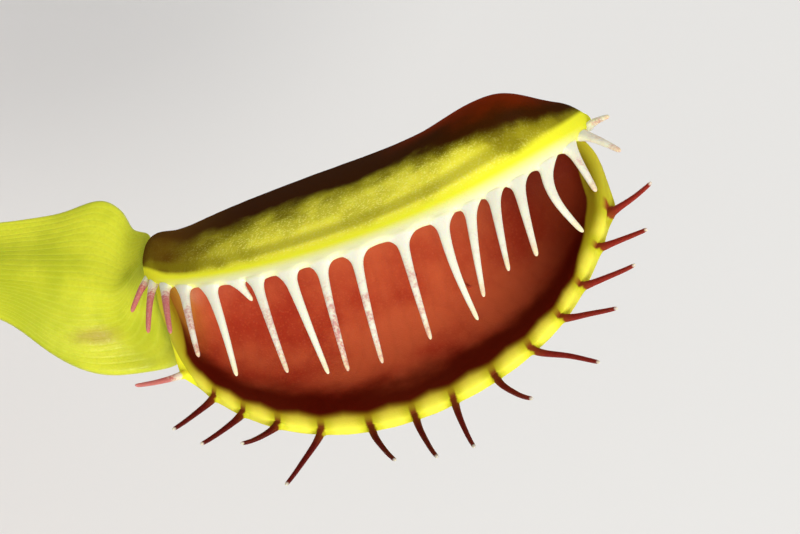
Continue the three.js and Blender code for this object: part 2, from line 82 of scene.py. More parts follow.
def hill(x, top, width):
    """1 at the top, and falling softly to 0 on both sides of it."""
    return math.exp(-(((x - top) / width) ** 2))


def circle(sides):
    """Cosine and sine of as many evenly spaced angles."""
    return [(math.cos(a), math.sin(a)) for a in (2 * math.pi * k / sides for k in range(sides))]


def wobble(a, b):
    """A repeatable number from -1 to 1 for two whole numbers."""
    v = math.sin(a * 127.1 + b * 311.7) * 43758.5453
    return 2 * (v - math.floor(v)) - 1


print("wobble(1, 2) =", round(wobble(1, 2), 3))

# %% The helper that makes an object
class Cage:
    """Collects points, faces and numbers for each point, and makes them one object."""

    def __init__(self, *fields):
        self.points = []
        self.faces = []
        self.fields = {field: [] for field in fields}

    def point(self, place, **values):
        self.points.append(tuple(float(x) * MM for x in place))
        for field, column in self.fields.items():
            column.append(float(values.get(field, 0)))
        return len(self.points) - 1

    def face(self, *corners):
        self.faces.append(corners)

    def tube(self, low, high):
        """Quads between two rings of as many points."""
        for k, corner in enumerate(low):
            n = (k + 1) % len(low)
            self.face(corner, low[n], high[n], high[k])

    def make(self, name, rounds=0, material=None, slot=None, stands_for=()):
        mesh = bpy.data.meshes.new(name)
        mesh.from_pydata(self.points, [], self.faces)
        for field, column in self.fields.items():
            mesh.attributes.new(field, "FLOAT", "POINT").data.foreach_set("value", column)
        mesh.polygons.foreach_set("use_smooth", [True] * len(mesh.polygons))
        mesh.update()
        piece = bpy.data.objects.new(name, mesh)
        bpy.context.scene.collection.objects.link(piece)
        if rounds:
            smooth = piece.modifiers.new("rounding", "SUBSURF")
            smooth.levels = smooth.render_levels = rounds
        if material:
            mesh.materials.append(material)
        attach(piece, "root")
        if stands_for:
            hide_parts(*stands_for)
        return piece


print("the cage helper is ready")

# %% [markdown]
# ## Camera
# The picture looks steeply down on one trap. A wide lens close by would make the near teeth much larger
# than the far ones, and in the picture they are almost the same size. So the camera stands about a quarter
# of a metre away with a long lens, and looks at the middle of that trap.

# %% Camera
LOOK_AT = np.array([89.2, -8.76, 101.4])
STEEPNESS = math.radians(72)
DISTANCE = 250
VIEW_WIDTH = 45  # how much the picture's long side covers at the trap
SENSOR_WIDTH = 36

towards_camera = np.array([0, -math.cos(STEEPNESS), math.sin(STEEPNESS)])
camera_data = bpy.data.cameras.new("camera")
camera_data.sensor_width = SENSOR_WIDTH
camera_data.lens = SENSOR_WIDTH * DISTANCE / VIEW_WIDTH
camera_data.clip_start = 0.01
camera = bpy.data.objects.new("camera", camera_data)
camera.location = Vector((LOOK_AT + DISTANCE * towards_camera) * MM)
camera.rotation_euler = Vector(-towards_camera).to_track_quat("-Z", "Y").to_euler()
bpy.context.scene.collection.objects.link(camera)
bpy.context.scene.camera = camera
print("camera at", [round(c, 4) for c in camera.location], "lens", camera_data.lens)

# %% [markdown]
# ## Light and floor
# A thin leaf shows its colour best in large, soft lights. A picture of a studio could light it, but three
# lamps are easier to steer: a large one near the camera, a second that fills from the left, and a third
# behind the plant that draws its rim. The world is pale too, so that no view from the side ends in
# darkness. The Standard view keeps strong yellows and reds as strong as they are.

# %% Lights
MIDDLE = (0.03, 0, 0.08)  # the middle of the plant, in metres, as all places of lights are
WARM_WHITE, COOL_WHITE = (1, 0.985, 0.95), (0.93, 0.95, 1, 1)


def area_light(name, place, aim, size, power, tint=(1, 1, 1)):
    lamp = bpy.data.lights.new(name, "AREA")
    lamp.shape = "DISK"
    lamp.size = size
    lamp.energy = power
    lamp.color = tint
    light = bpy.data.objects.new(name, lamp)
    light.location = Vector(place)
    light.rotation_euler = (Vector(aim) - Vector(place)).to_track_quat("-Z", "Y").to_euler()
    light.visible_camera = False
    bpy.context.scene.collection.objects.link(light)


area_light("key light", (0.30, -0.55, 0.95), (0.09, -0.01, 0.1), 0.35, 9.8, WARM_WHITE)
area_light("fill light", (-0.9, -0.5, 0.6), MIDDLE, 0.8, 1.1)
area_light("rim light", (0.25, 0.95, 0.55), MIDDLE, 0.5, 1.6)

world = bpy.data.worlds.new("studio")
bpy.context.scene.world = world
world.use_nodes = True
background = world.node_tree.nodes["Background"].inputs
background["Color"].default_value = COOL_WHITE
background["Strength"].default_value = 0.4
bpy.context.scene.view_settings.view_transform = "Standard"

# %% [markdown]
# ## Building materials from nodes
# Every finish is a small network of nodes. Added one at a time they take many lines, so helpers do it here:
# one adds a node, one joins or sets an input, and others calculate with masks or blend two colours by one.
# Each finds its network from the mask that it is given, so the lines below stay short.

# %% Helpers for nodes
def join(socket, value):
    """Links an output to an input, or sets the input to a number or a colour."""
    if isinstance(value, bpy.types.NodeSocket):
        socket.id_data.links.new(value, socket)
    elif isinstance(value, tuple) and len(socket.default_value) == 4:
        socket.default_value = (*value, 1)
    else:
        socket.default_value = value


def feed(node, **inputs):
    """Joins a node's inputs by name, written with _ for each space."""
    for key, value in inputs.items():
        join(node.inputs[key.replace("_", " ")], value)


def add(tree, kind, inputs=None, **settings):
    """Adds a node, with its inputs given by name or by number."""
    node = tree.nodes.new(kind)
    for key, value in settings.items():
        setattr(node, key, value)
    for key, value in (inputs or {}).items():
        join(node.inputs[key], value)
    return node


def new_finish(name):
    """A material, its tree, its shader, and the place of each point on the plant."""
    material = bpy.data.materials.new(name)
    material.use_nodes = True
    tree = material.node_tree
    return material, tree, tree.nodes["Principled BSDF"], add(tree, "ShaderNodeTexCoord").outputs["Object"]


def number(tree, name):
    """A number that the mesh carries for each of its points."""
    return add(tree, "ShaderNodeAttribute", attribute_name=name).outputs["Fac"]


def height_of(spot):
    """How high a place is above the pot's base, in metres."""
    return add(spot.id_data, "ShaderNodeSeparateXYZ", {"Vector": spot}).outputs["Z"]


print("node helpers are ready")

# %% Helpers that calculate with masks
def tree_of(values):
    """The tree of the first socket among some values."""
    return next(value.id_data for value in values if isinstance(value, bpy.types.NodeSocket))


def calculate(operation, *values):
    """The same operation from each value to the next."""
    tree, result = tree_of(values), values[0]
    for value in values[1:]:
        result = add(tree, "ShaderNodeMath", {0: result, 1: value}, operation=operation).outputs[0]
    return result


def plus(*values):
    return calculate("ADD", *values)


def minus(*values):
    return calculate("SUBTRACT", *values)


def times(*values):
    return calculate("MULTIPLY", *values)


def larger(*values):
    return calculate("MAXIMUM", *values)


def inverse(mask):
    return minus(1.0, mask)


def soft_step(value, low, high):
    """0 below low and 1 above high; low may be the larger one, which turns it round."""
    inputs = {"Value": value, "From Min": low, "From Max": high}
    return add(value.id_data, "ShaderNodeMapRange", inputs, interpolation_type="SMOOTHSTEP").outputs["Result"]


def mix(mask, first, second):
    """The first colour where the mask is 0, and the second where it is 1."""
    inputs = {"Factor": mask, 6: first, 7: second}
    return add(mask.id_data, "ShaderNodeMix", inputs, data_type="RGBA").outputs[2]


def paint(colour, *coats):
    """Lays other colours over the first one, each given with the mask that shows where it covers."""
    for mask, coat in coats:
        colour = mix(mask, colour, coat)
    return colour


def bumps(height, strength, depth):
    """A normal that follows a height; the depth is in metres."""
    inputs = {"Height": height, "Strength": strength, "Distance": depth}
    return add(height.id_data, "ShaderNodeBump", inputs).outputs[0]


print("mask helpers are ready")

# %% Helpers for node groups
def new_group(name, inputs, output):
    """An empty group with one output. Inputs come with their defaults; None stands for a place."""
    group = bpy.data.node_groups.new(name, "ShaderNodeTree")
    for key, value in inputs.items():
        kind = "NodeSocketVector" if value is None else "NodeSocketFloat"
        socket = group.interface.new_socket(key, in_out="INPUT", socket_type=kind)
        if value is not None:
            socket.default_value = value
    group.interface.new_socket(output, in_out="OUTPUT", socket_type="NodeSocketFloat")
    return group, group.nodes.new("NodeGroupInput").outputs, group.nodes.new("NodeGroupOutput").inputs[output]


def use(group, **inputs):
    """Places a group in the tree that its inputs come from, and gives its output."""
    node = add(tree_of(inputs.values()), "ShaderNodeGroup", node_tree=group)
    feed(node, **inputs)
    return node.outputs[0]


print("group helpers are ready")

# %% [markdown]
# ## Effects that several finishes share
# Leaves, scales, peat and pot all have cloudy patches, specks and a fine grain, and both parts of a leaf
# have veins. These nodes could be copied into every material, but a node group is built once and takes its
# own values in each place. A group only gives out a mask or a height. The shader itself stays in the
# material.

# %% Cloudy patches
clouds, given, result = new_group(
    "cloudy patches", {"Place": None, "Scale": 500.0, "Detail": 4.0, "Low": 0.4, "High": 0.6}, "Mask")
texture = add(clouds, "ShaderNodeTexNoise", {
    "Vector": given["Place"], "Scale": given["Scale"], "Detail": given["Detail"]})
join(result, soft_step(texture.outputs["Fac"], given["Low"], given["High"]))
print("group:", clouds.name)

# %% Small specks
specks, given, result = new_group(
    "small specks", {"Place": None, "Scale": 3000.0, "Size": 0.3, "Softness": 0.15}, "Mask")
texture = add(specks, "ShaderNodeTexVoronoi", {"Vector": given["Place"], "Scale": given["Scale"]})
join(result, soft_step(texture.outputs["Distance"], plus(given["Size"], given["Softness"]), given["Size"]))
print("group:", specks.name)

# %% Fine grain, as a height for a bump
grain, given, result = new_group(
    "fine grain", {"Place": None, "Coarse": 900.0, "Fine": 5000.0, "Balance": 0.5}, "Height")
coarse, fine = (
    add(grain, "ShaderNodeTexNoise", {"Vector": given["Place"], "Scale": given[size], "Detail": detail})
    for size, detail in (("Coarse", 3.0), ("Fine", 5.0)))
join(result, add(grain, "ShaderNodeMix", {
    "Factor": given["Balance"], 2: coarse.outputs["Fac"], 3: fine.outputs["Fac"]}).outputs[0])
print("group:", grain.name)

# %% Veins, as thin lines along one direction of a leaf
veins, given, result = new_group(
    "leaf veins", {"Across": 0.0, "Along": 0.0, "Count": 20.0, "Width": 0.2, "Waver": 0.25}, "Mask")
place = add(veins, "ShaderNodeCombineXYZ", {"X": given["Across"], "Y": given["Along"]}).outputs[0]
drift = add(veins, "ShaderNodeTexNoise", {"Vector": place, "Scale": 3.0, "Detail": 2.0}).outputs["Fac"]
lane = times(plus(given["Across"], times(minus(drift, 0.5), given["Waver"])), given["Count"])
join(result, soft_step(calculate("PINGPONG", lane, 0.5), given["Width"], 0.0))
print("group:", veins.name)

# %% [markdown]
# ## Floor
# The floor is not part of the plant. A plain disc is enough, but a perfectly even colour looks like paper,
# so it gets a very faint cloudiness and a fine grain.

# %% Floor
FLOOR_RADIUS = 15  # metres

floor_finish, tree, shader, spot = new_finish("pale floor")
patches = use(clouds, Place=spot, Scale=3.0, Low=0.3, High=0.7)
height = use(grain, Place=spot, Coarse=200.0, Fine=900.0)
feed(
    shader, Base_Color=mix(patches, (0.74, 0.735, 0.72), (0.77, 0.765, 0.75)), Roughness=0.75,
    Normal=bumps(height, 0.05, 0.0005))

bpy.ops.mesh.primitive_circle_add(vertices=96, radius=FLOOR_RADIUS, fill_type="NGON", location=(0, 0, 0))
floor = bpy.context.object
floor.name = "floor"
floor.data.materials.append(floor_finish)
print("floor radius", FLOOR_RADIUS, "m")

# %% [markdown]
# ## The form of a trap
# A trap is one leaf blade folded along its midrib. Each half, or lobe, is a thin shell that bellies
# outwards, and its edge is about half an oval. It could be sculpted, but formulas let all ten traps share
# one form with different numbers. They are the plain model's own: two numbers give every point, one for the
# place along the trap, the other for the way from the midrib to the edge. Trap 01 has a few small
# corrections on top.

# %% The ten leaves
# each tooth: its place along the edge, its length, its curl over the mouth, its lean towards the tip
NEAR_TEETH = [
    (0.018, 3.4, -12, -17), (0.056, 4.6, -5, -6), (0.111, 5, -8, 3), (0.172, 6, 1, 4), (0.236, 6.4, 14, 5),
    (0.293, 1.7, 15, 24), (0.329, 6.6, 15, 6), (0.384, 7, 19, 8), (0.438, 7.1, 18, 1), (0.492, 7.2, 19, 0),
    (0.562, 6.9, 18, 2), (0.626, 6.9, 18, 5), (0.674, 6.2, 13, -4), (0.716, 5.8, 7, -1), (0.762, 5.6, 9, 1),
    (0.828, 5.2, 16, 11), (0.892, 3.8, 10, 13), (0.94, 3.9, -12, 32), (0.98, 2.2, -45, 50),
]
FAR_TEETH = [
    (0.111, 4.2, 40, -35), (0.17, 4.6, 24, -25), (0.222, 4.8, 27, -24), (0.279, 4.9, 36, -17),
    (0.346, 5.2, 15, -22), (0.418, 5.3, 19, 19), (0.482, 5.6, 18, 15), (0.54, 5.6, 16, 12),
    (0.605, 5.6, 26, 27), (0.669, 5.4, 17, 46), (0.734, 5.2, 36, 47), (0.793, 4.8, 43, 51),
    (0.858, 4.4, 39, 46), (0.911, 4.3, 50, 51),
]
NEAR_PINK = (
    1.25, 1.25, 1.25, 0.65, 0.05, 0.3, 0.5, 0.05, 0.7, 0.6, 0.55, 0.1, 0.3, 0.25, 0.3, 0.2, 0.45, 0.45, 0.6)
NEAR_BOW = {0.236: 0.15, 0.626: -0.2, 0.828: -0.6}  # these near teeth bend sideways
# a stalk's outline: distance from its neck and half width, both in units of its widest half width
STALK_SIDE = (
    (0, 0.16), (0.1, 0.2), (0.28, 0.62), (0.55, 0.95), (0.85, 1), (1.3, 0.88), (2, 0.66), (3.4, 0.52),
    (6, 0.44), (9, 0.38))
BROAD_LEFT = (
    (0, 0.2), (0.06, 0.34), (0.13, 0.44), (0.2, 0.55), (0.28, 0.68), (0.38, 0.79), (0.5, 0.97), (0.62, 1.05),
    (0.76, 1.1), (0.9, 1.08), (1.08, 1.01), (1.3, 0.91), (1.6, 0.82), (2, 0.73), (3.4, 0.52), (6, 0.44),
    (9, 0.38))
BROAD_RIGHT = (
    (0, 0.16), (0.1, 0.26), (0.2, 0.5), (0.28, 0.57), (0.38, 0.57), (0.5, 0.64), (0.62, 0.72), (0.85, 0.84),
    (1.08, 0.81), (1.3, 0.67), (1.65, 0.42), (2, 0.35), (2.6, 0.38), (3.4, 0.43), (6, 0.43), (9, 0.38))
COMMON = dict(
    turn=0, bulge=(3.6, 3.6), lobe_width=(12.4, 12.4), edge_centre=(12.4, 12.4), edge_half=(13.6, 13.6),
    midrib_end=24.4, sag=1, swell=0, tooth_count=10, half_width=5, cup=(0.2, 0.2),
    stalk_sides=(STALK_SIDE, STALK_SIDE), offset=(0, 0), sweep=0, droop=0, fine=False)
# trap 01's teeth are pale on the near lobe as painted light, and dark red on the far lobe partly as painted
# shade
BIG_LEAF = dict(
    name="01", azimuth=-7.5, foot=7, lift=30, approach=-12, size=1, trap_at=(75.6, -8.5, 101), heading=15.6,
    climb=14, roll=57.5, open=(19, 20), bulge=(1.4, 4.2), lobe_width=(12.1, 16.4), edge_centre=(12.7, 12.6),
    edge_half=(13.4, 14.35), midrib_end=22.6, sag=2.2, swell=1.9, teeth=(NEAR_TEETH, FAR_TEETH),
    half_width=4.9, cup=(-0.05, -0.25), stalk_sides=(BROAD_LEFT, BROAD_RIGHT), offset=(-1.7, -1.2),
    sweep=3.8, droop=1.6, fine=True, blush=1, tooth_red_and_shade=(0, 1))
OTHER_FIELDS = (
    "name", "azimuth", "foot", "lift", "reach", "height", "turn", "climb", "roll", "size", "open", "blush",
    "tooth_red_and_shade")
OTHER_LEAVES = (
    ("02", 38, 7, 34, 41, 93, 8, 30, -14, 0.84, 44, 0.9, 0.5),
    ("03", 84, 7, 26, 46, 86, -10, 16, 12, 0.9, 50, 0.75, 0.4),
    ("04", 131, 7, 36, 39, 95, 6, 34, 10, 0.78, 40, 0.85, 0.6),
    ("05", 177, 7, 24, 47, 85, 8, 12, -20, 0.92, 47, 0.95, 0.5),
    ("06", 224, 7, 34, 42, 92, -6, 26, 14, 0.86, 36, 0.7, 0.35),
    ("07", 272, 7, 27, 44, 88, 8, 18, 8, 0.88, 52, 1.0, 0.6),
    ("08", 316, 7, 36, 38, 94, -6, 30, -10, 0.76, 42, 0.6, 0.3),
    ("09", 60, 2.9, 62, 15, 108, 0, 58, 10, 0.62, 34, 0.45, 0.2),
    ("10", 200, 2.9, 66, 14, 104, 0, 62, -8, 0.5, 22, 0.3, 0.12),
)

leaves = [{**COMMON, **BIG_LEAF}]
for row in OTHER_LEAVES:
    leaf = {**COMMON, **dict(zip(OTHER_FIELDS, row))}
    leaf["open"], leaf["tooth_red_and_shade"] = (leaf["open"],) * 2, (leaf["tooth_red_and_shade"],) * 2  # the same for both lobes
    leaves.append(leaf)
print("leaves:", len(leaves))

# %% A trap's own axes
def trap_axes(leaf):
    """The trap's origin, and its axes: along the midrib, towards the first lobe, and out of the mouth."""
    heading = math.radians(leaf.get("heading", leaf["azimuth"] + leaf["turn"]))
    climb, roll = math.radians(leaf["climb"]), math.radians(leaf["roll"])
    flat = np.array([math.cos(heading), math.sin(heading), 0])
    up = np.array([0, 0, 1.0])
    x = math.cos(climb) * flat + math.sin(climb) * up
    lifted = -math.sin(climb) * flat + math.cos(climb) * up
    z = math.cos(roll) * lifted - math.sin(roll) * np.cross(lifted, x)
    azimuth = math.radians(leaf["azimuth"])
    origin = leaf.get("trap_at") or (
        leaf["reach"] * math.cos(azimuth), leaf["reach"] * math.sin(azimuth), leaf["height"])
    return np.array(origin, float), np.stack([x, np.cross(z, x), z])


def put_on_leaf(cage, leaf):
    """Moves a cage from its trap's own axes to those of the plant."""
    local = np.array(cage.points) * leaf["size"]
    cage.points = [tuple(p) for p in local @ leaf["axes"] + leaf["origin"] * MM]


for leaf in leaves:
    leaf["origin"], leaf["axes"] = trap_axes(leaf)
print("trap 01 points along", np.round(leaves[0]["axes"][0], 2))

# %% A point of a lobe
FIRST_ANGLE, LAST_ANGLE = 170, 10
MIDRIB_START = 0.3
OVERRUN = 0.06  # a lobe's columns may lie this far past both ends of its edge
BLUNTNESS, CLOSING = 0.4, 0.6  # how quickly the belly fills out from the ends, and closes at them

# Trap 01's own corrections, in mm. A form is (how much, where it is greatest, how long it is).
HUMP_RISE, HUMP_FALL = (20.2, 4.2), (20.2, 2.0)  # the hump on the near lobe rises slowly and ends sooner
SHORT_SIDE, SHORT_ZONE = 0.3, (0.1, 0.45)  # the near lobe is shorter towards the stalk
SHOULDER = (0.75, 0.08, 0.06)  # and it bulges beside the stalk
END_PULL = (1.3, 2.0)  # both ends of the far lobe stay a little behind the near one's
END_ZONES = ((-0.06, 0.12), (0.94, 1.06))
TIP_DRAW = (0.5, 0.85, 0.12)  # the far edge is drawn back before the tip
NARROWER, WAIST = 0.3, (0.6, 0.6, 0.24)  # and the far lobe is narrower, most of all past its middle
FLARE, FLARE_FROM = 0.9, 0.86  # its edge turns outwards


def form_at(form, s):
    most, place, long = form
    return most * hill(s, place, long)


def lobe_point(leaf, side, s, t, flared=True):
    """A point of a lobe's middle: s runs from the stalk end to the tip, t from the midrib to the edge."""
    lobe = 0 if side > 0 else 1
    near, far = leaf["fine"] and side > 0, leaf["fine"] and side < 0
    angle = math.radians(lerp(FIRST_ANGLE, LAST_ANGLE, s))
    rise, reach = math.sin(angle), math.cos(angle)
    middle = (MIDRIB_START + leaf["midrib_end"]) / 2
    half = (leaf["midrib_end"] - MIDRIB_START) / 2
    midrib_x = middle + half * reach / math.cos(math.radians(LAST_ANGLE))
    edge_x = leaf["edge_centre"][lobe] + leaf["edge_half"][lobe] * reach
    width = leaf["lobe_width"][lobe] * rise
    swell = 0
    if near:
        width -= SHORT_SIDE * (1 - ramp(*SHORT_ZONE, s))
        hump = HUMP_RISE if midrib_x < HUMP_RISE[0] else HUMP_FALL
        swell = leaf["swell"] * hill(midrib_x, *hump) + form_at(SHOULDER, s)
    if far:
        edge_x += END_PULL[0] * (1 - ramp(*END_ZONES[0], s)) - END_PULL[1] * ramp(*END_ZONES[1], s)
    if far and flared:
        edge_x -= form_at(TIP_DRAW, s)
        width -= (NARROWER + form_at(WAIST, s)) * rise
    opening = math.radians(leaf["open"][lobe])
    closing = min(1, rise / math.sin(math.radians(LAST_ANGLE))) ** CLOSING
    out = (leaf["bulge"][lobe] * rise**BLUNTNESS + swell) * 4 * t * (1 - t) * closing
    if far and flared:
        out += FLARE * max(0, (t - FLARE_FROM) / (1 - FLARE_FROM)) ** 2 * closing
    return np.array([
        lerp(midrib_x, edge_x, t),
        side * (width * t * math.sin(opening) + out * math.cos(opening)),
        -leaf["sag"] * rise + width * t * math.cos(opening) - out * math.sin(opening),
    ])


def lobe_axes(leaf, side, s, t):
    """Directions at a point of a lobe: along its length, and into the trap."""
    step = 0.004
    s0, s1 = max(-OVERRUN, s - step), min(1 + OVERRUN, s + step)
    t0, t1 = max(0, t - step), min(1, t + step)
    length = unit(lobe_point(leaf, side, s1, t) - lobe_point(leaf, side, s0, t))
    across = lobe_point(leaf, side, s, t1) - lobe_point(leaf, side, s, t0)
    return length, unit(np.cross(length, across) * side)


print("tip of lobe 1 of trap 01:", np.round(lobe_point(leaves[0], 1, 1, 1), 1))

# %% [markdown]
# ## Teeth
# The teeth of a real trap aren't stuck on: the edge of the lobe runs out into them, and between two teeth
# it makes a round arch. Separate cones could be joined to the lobe with a boolean, but they would meet it
# at a sharp corner. So a tooth's root takes up the edge from arch to arch, and narrows to a slim spike
# within about a millimetre. Each tooth is a string of six-cornered rings, and the subdivision rounds them.

# %% Where the teeth are
LONGEST_TOOTH = 6.4  # on the nine other traps; towards the ends of their edges teeth get shorter


def teeth_of(leaf, side):
    """Rows of place, length, curl over the mouth and lean towards the tip."""
    if "teeth" in leaf:
        return leaf["teeth"][0 if side > 0 else 1]
    rows = []
    pitch = 1 / (leaf["tooth_count"] + 0.6)
    for k in range(leaf["tooth_count"]):
        place = (k + 0.8 + 0.1 * wobble(k, side + int(leaf["name"]))) * pitch
        share = 0.5 + 0.5 * math.sin(math.pi * place) ** 0.6
        long = LONGEST_TOOTH * share * (1 + 0.1 * wobble(k + 40, side))
        curl = 4 - leaf["open"][0] * 0.45 + 4 * wobble(k + 60, side)
        lean = 60 * (place - 0.5) * abs(2 * place - 1) + 6 * wobble(k + 80, side)
        rows.append((place, long, curl, lean))
    return rows


END_STEPS = (0.03, 0.058)  # beyond both ends of the edge the lobe runs out to a point


def columns(leaf, side):
    """Where a cage's columns stand: two for each end, and between them arch, tooth, arch and so on."""
    places = [row[0] for row in teeth_of(leaf, side)]
    arches = [0.0] + [(a + b) / 2 for a, b in zip(places, places[1:])] + [1.0]
    both = [-END_STEPS[1], -END_STEPS[0], arches[0]]
    for tooth, arch in zip(places, arches[1:]):
        both += [tooth, arch]
    return both + [1 + END_STEPS[0], 1 + END_STEPS[1]]


def tints(leaf, side):
    """How red the inside is, and how red the teeth are, which on trap 01 also paints lit near teeth and
    shaded far ones.
    """
    return dict(blush=leaf["blush"], tooth_red_and_shade=leaf["tooth_red_and_shade"][0 if side > 0 else 1])


print("teeth of trap 01:", len(NEAR_TEETH), "and", len(FAR_TEETH))

# %% One tooth
FINE_RINGS = (0.05, 0.17, 0.38, 0.68, 1.05, 1.7, 2.6, 3.6, 4.6, 5.6)  # mm from the root
PLAIN_RINGS = (0.12, 0.45, 1.0, 2.2, 4.0)
TIP_RINGS = (0.45, 0.18, 0.05)  # mm from the tip
ROUNDING = 0.9  # a rounded ring is this much narrower than its cage
LOBE_HALF, EDGE_HALF = 0.33, 0.24  # half the thickness of a lobe, inside and at its edge
TOOTH_BEND = 12  # degrees more curl at the tip than at the root
ROOT_LENGTH = 1.2  # mm over which a tooth goes from the edge's thickness to its own
CORNERS = ((-1, 0.75), (0, 1.1), (1, 0.75), (-1, -0.75), (0, -1.1), (1, -0.75))  # sideways, and in or out
RING_ORDER = (0, 1, 2, 5, 4, 3)  # the corners in order around the ring


def tooth_form(leaf, side, place, long, pink):
    """Half width at root and tip, half depth, height of the arches beside it, and sideways bow of a tooth."""
    if not leaf["fine"]:
        return 0.24, 0.14, 0.2, 0.9, 0.15 * wobble(int(100 * place), side)
    if side < 0:
        return 0.17, 0.10, 0.15, 0.16, -0.12 if place < 0.62 else 0.2
    stout = ramp(0.72, 0.8, place)  # the last near teeth are stouter
    half = min(0.27, 0.09 + 0.042 * long) * (1.08 - 0.22 * min(1, pink)) * (1 + 0.15 * stout)
    return half, 0.11 + 0.03 * stout, 0.18, 1.1, NEAR_BOW.get(place, 0)


def join_rings(cage, low, high, side):
    """Quads between two six-cornered rings."""
    for a, b in zip(RING_ORDER, RING_ORDER[1:] + RING_ORDER[:1]):
        quad = (low[a], low[b], high[b], high[a])
        cage.face(*(quad if side > 0 else quad[::-1]))


def add_tooth(cage, leaf, side, row, root, pitch, pink):
    """A tooth on six root corners: three inner ones, then three outer ones, each from stalk end to tip."""
    place, long, curl, lean = row
    start = lobe_point(leaf, side, place, 1)
    back = lobe_point(leaf, side, place, 1, False) - start
    length, _ = lobe_axes(leaf, side, place, 1)
    half, tip_half, depth, arch_height, bow = tooth_form(leaf, side, place, long, pink)
    colours = dict(along=place, span=1, **tints(leaf, side))
    # on trap 01 the near teeth are painted pale as lit, and the far ones dark partly as painted shade
    if leaf["fine"]:
        colours["tooth_red_and_shade"] = 0.3 * pink if side > 0 else 1 if place > 0.12 else 0.42

    def direction(share):
        over = math.radians(curl - TOOTH_BEND * (1 - share))
        lean_here = lean * (1 if side > 0 else lerp(0.7, 1, min(1, 2.5 * share)))
        return unit(np.array([math.tan(math.radians(lean_here)), -side * math.tan(over), 1]))

    ring = root
    places = FINE_RINGS if leaf["fine"] else PLAIN_RINGS
    for d in [p for p in places if p < long - 0.8] + [long - p for p in TIP_RINGS]:
        share = d / long
        along_tooth = direction(share)
        upright = unit(length - along_tooth * (length @ along_tooth))
        wide = unit(lerp(length, upright, min(1, d / ROOT_LENGTH)))
        deep = unit(np.cross(upright, along_tooth)) * side
        opened = math.sqrt(1 - (1 - min(1, d / arch_height)) ** 2)
        blunt = math.sqrt(1 - (1 - min(1, (long - d) / 0.3)) ** 2)
        flare = 0.35 * half * math.exp(-d)
        width = lerp(pitch / 2, (lerp(half, tip_half, share) + flare) * blunt / ROUNDING, opened)
        thick = lerp(EDGE_HALF, depth * (1 - 0.35 * share) * blunt, min(1, d / ROOT_LENGTH)) / ROUNDING
        centre = start + along_tooth * d + back * share + wide * bow * math.sin(math.pi * share)
        new = [
            cage.point(
                centre + wide * a * width + deep * b * thick, tooth=share,
                beat=abs(a) * min(1, 2 * width / pitch), face=0.5 - 0.5 * np.sign(b), **colours)
            for a, b in CORNERS
        ]
        join_rings(cage, ring, new, side)
        ring = new
    tip = cage.point(start + direction(1) * long + back, tooth=1, beat=0, face=0.5, **colours)
    loop = [ring[k] for k in RING_ORDER]
    for a, b in zip(loop, loop[1:] + loop[:1]):
        cage.face(*((a, b, tip) if side > 0 else (b, a, tip)))


print("a tooth has up to", len(FINE_RINGS) + len(TIP_RINGS), "rings")

# %% [markdown]
# ## Lobes
# A single surface with a solidify modifier would have the same thickness everywhere. But a lobe is thick
# along the midrib, thin at its edge and round at the beads between the far teeth. So its two faces are
# drawn as two grids with the same columns. A rim closes them all around, and the teeth stand on it.

# %% One lobe
BEAD_HALF = 0.15  # the beaded far edge of trap 01 is thicker by this much on each face
SLIGHT_BEAD = 0.25  # beads of the nine other traps, as a share of those
BEAD_PUFF = (0.15, 0.015)  # a bead is thicker by so many mm, and reaches out by this share of the lobe
MIDRIB_RIB, RIB_REACH = 0.5, 0.12  # the midrib is thicker outside, in mm, and over this share of the lobe


def add_lobe(cage, leaf, side, rows):
    """A lobe's two faces, its edge with the teeth, and its two ends. Returns the rows next to the midrib."""
    places = columns(leaf, side)
    inner, outer = [], []
    beaded = leaf["fine"] and side < 0
    bead = 1 if beaded else 0 if leaf["fine"] else SLIGHT_BEAD
    edge_half = EDGE_HALF + (BEAD_HALF if beaded else 0)
    for t in rows:
        rib = MIDRIB_RIB * hill(t, 0, RIB_REACH)
        row_in, row_out = [], []
        for k, s in enumerate(places):
            beat = 1.0 if k % 2 == 0 else 0.0
            puff = bead * beat * ramp(0.88, 0.95, t) * ramp(0.1, 0.4, math.sin(math.pi * clamp(s)))
            beyond = max(0, -s, s - 1) / END_STEPS[1]
            thick = lerp(LOBE_HALF, edge_half, ramp(0.75, 0.95, t)) + BEAD_PUFF[0] * puff
            if beaded:
                thick *= 1 - 0.4 * ramp(0.95, 1, t)
            thick *= (1 - 0.6 * beyond) / leaf["size"] ** 0.6
            p = lobe_point(leaf, side, s, t * (1 - 0.2 * beyond) + BEAD_PUFF[1] * puff)
            _, inward = lobe_axes(leaf, side, s, t)
            shared = dict(along=s, span=t, tooth=0, beat=beat, **tints(leaf, side))
            row_in.append(cage.point(p + inward * thick, face=0, **shared))
            row_out.append(cage.point(p - inward * (thick + rib), face=1, **shared))
        inner.append(row_in)
        outer.append(row_out)

    def face(*corners):
        cage.face(*(corners if side > 0 else corners[::-1]))

    last = len(places) - 1
    for j in range(1, len(rows)):
        for i in range(1, len(places)):
            face(inner[j - 1][i - 1], inner[j - 1][i], inner[j][i], inner[j][i - 1])
            face(outer[j - 1][i], outer[j - 1][i - 1], outer[j][i - 1], outer[j][i])
        face(inner[j - 1][0], inner[j][0], outer[j][0], outer[j - 1][0])
        face(inner[j][last], inner[j - 1][last], outer[j - 1][last], outer[j][last])
    edge_in, edge_out = inner[-1], outer[-1]
    for i in (1, 2, last - 1, last):
        face(edge_in[i - 1], edge_in[i], edge_out[i], edge_out[i - 1])
    for k, row in enumerate(teeth_of(leaf, side)):
        i = 2 * k + 2
        root = [*edge_in[i:i + 3], *edge_out[i:i + 3]]
        a, b = (lobe_point(leaf, side, places[n], 1) for n in (i, i + 2))
        pink = NEAR_PINK[k] if leaf["fine"] and side > 0 else 0
        add_tooth(cage, leaf, side, row, root, float(np.linalg.norm(b - a)), pink)
    return inner[0], outer[0], places


print("beads of trap 01's far edge:", len(FAR_TEETH) - 1)

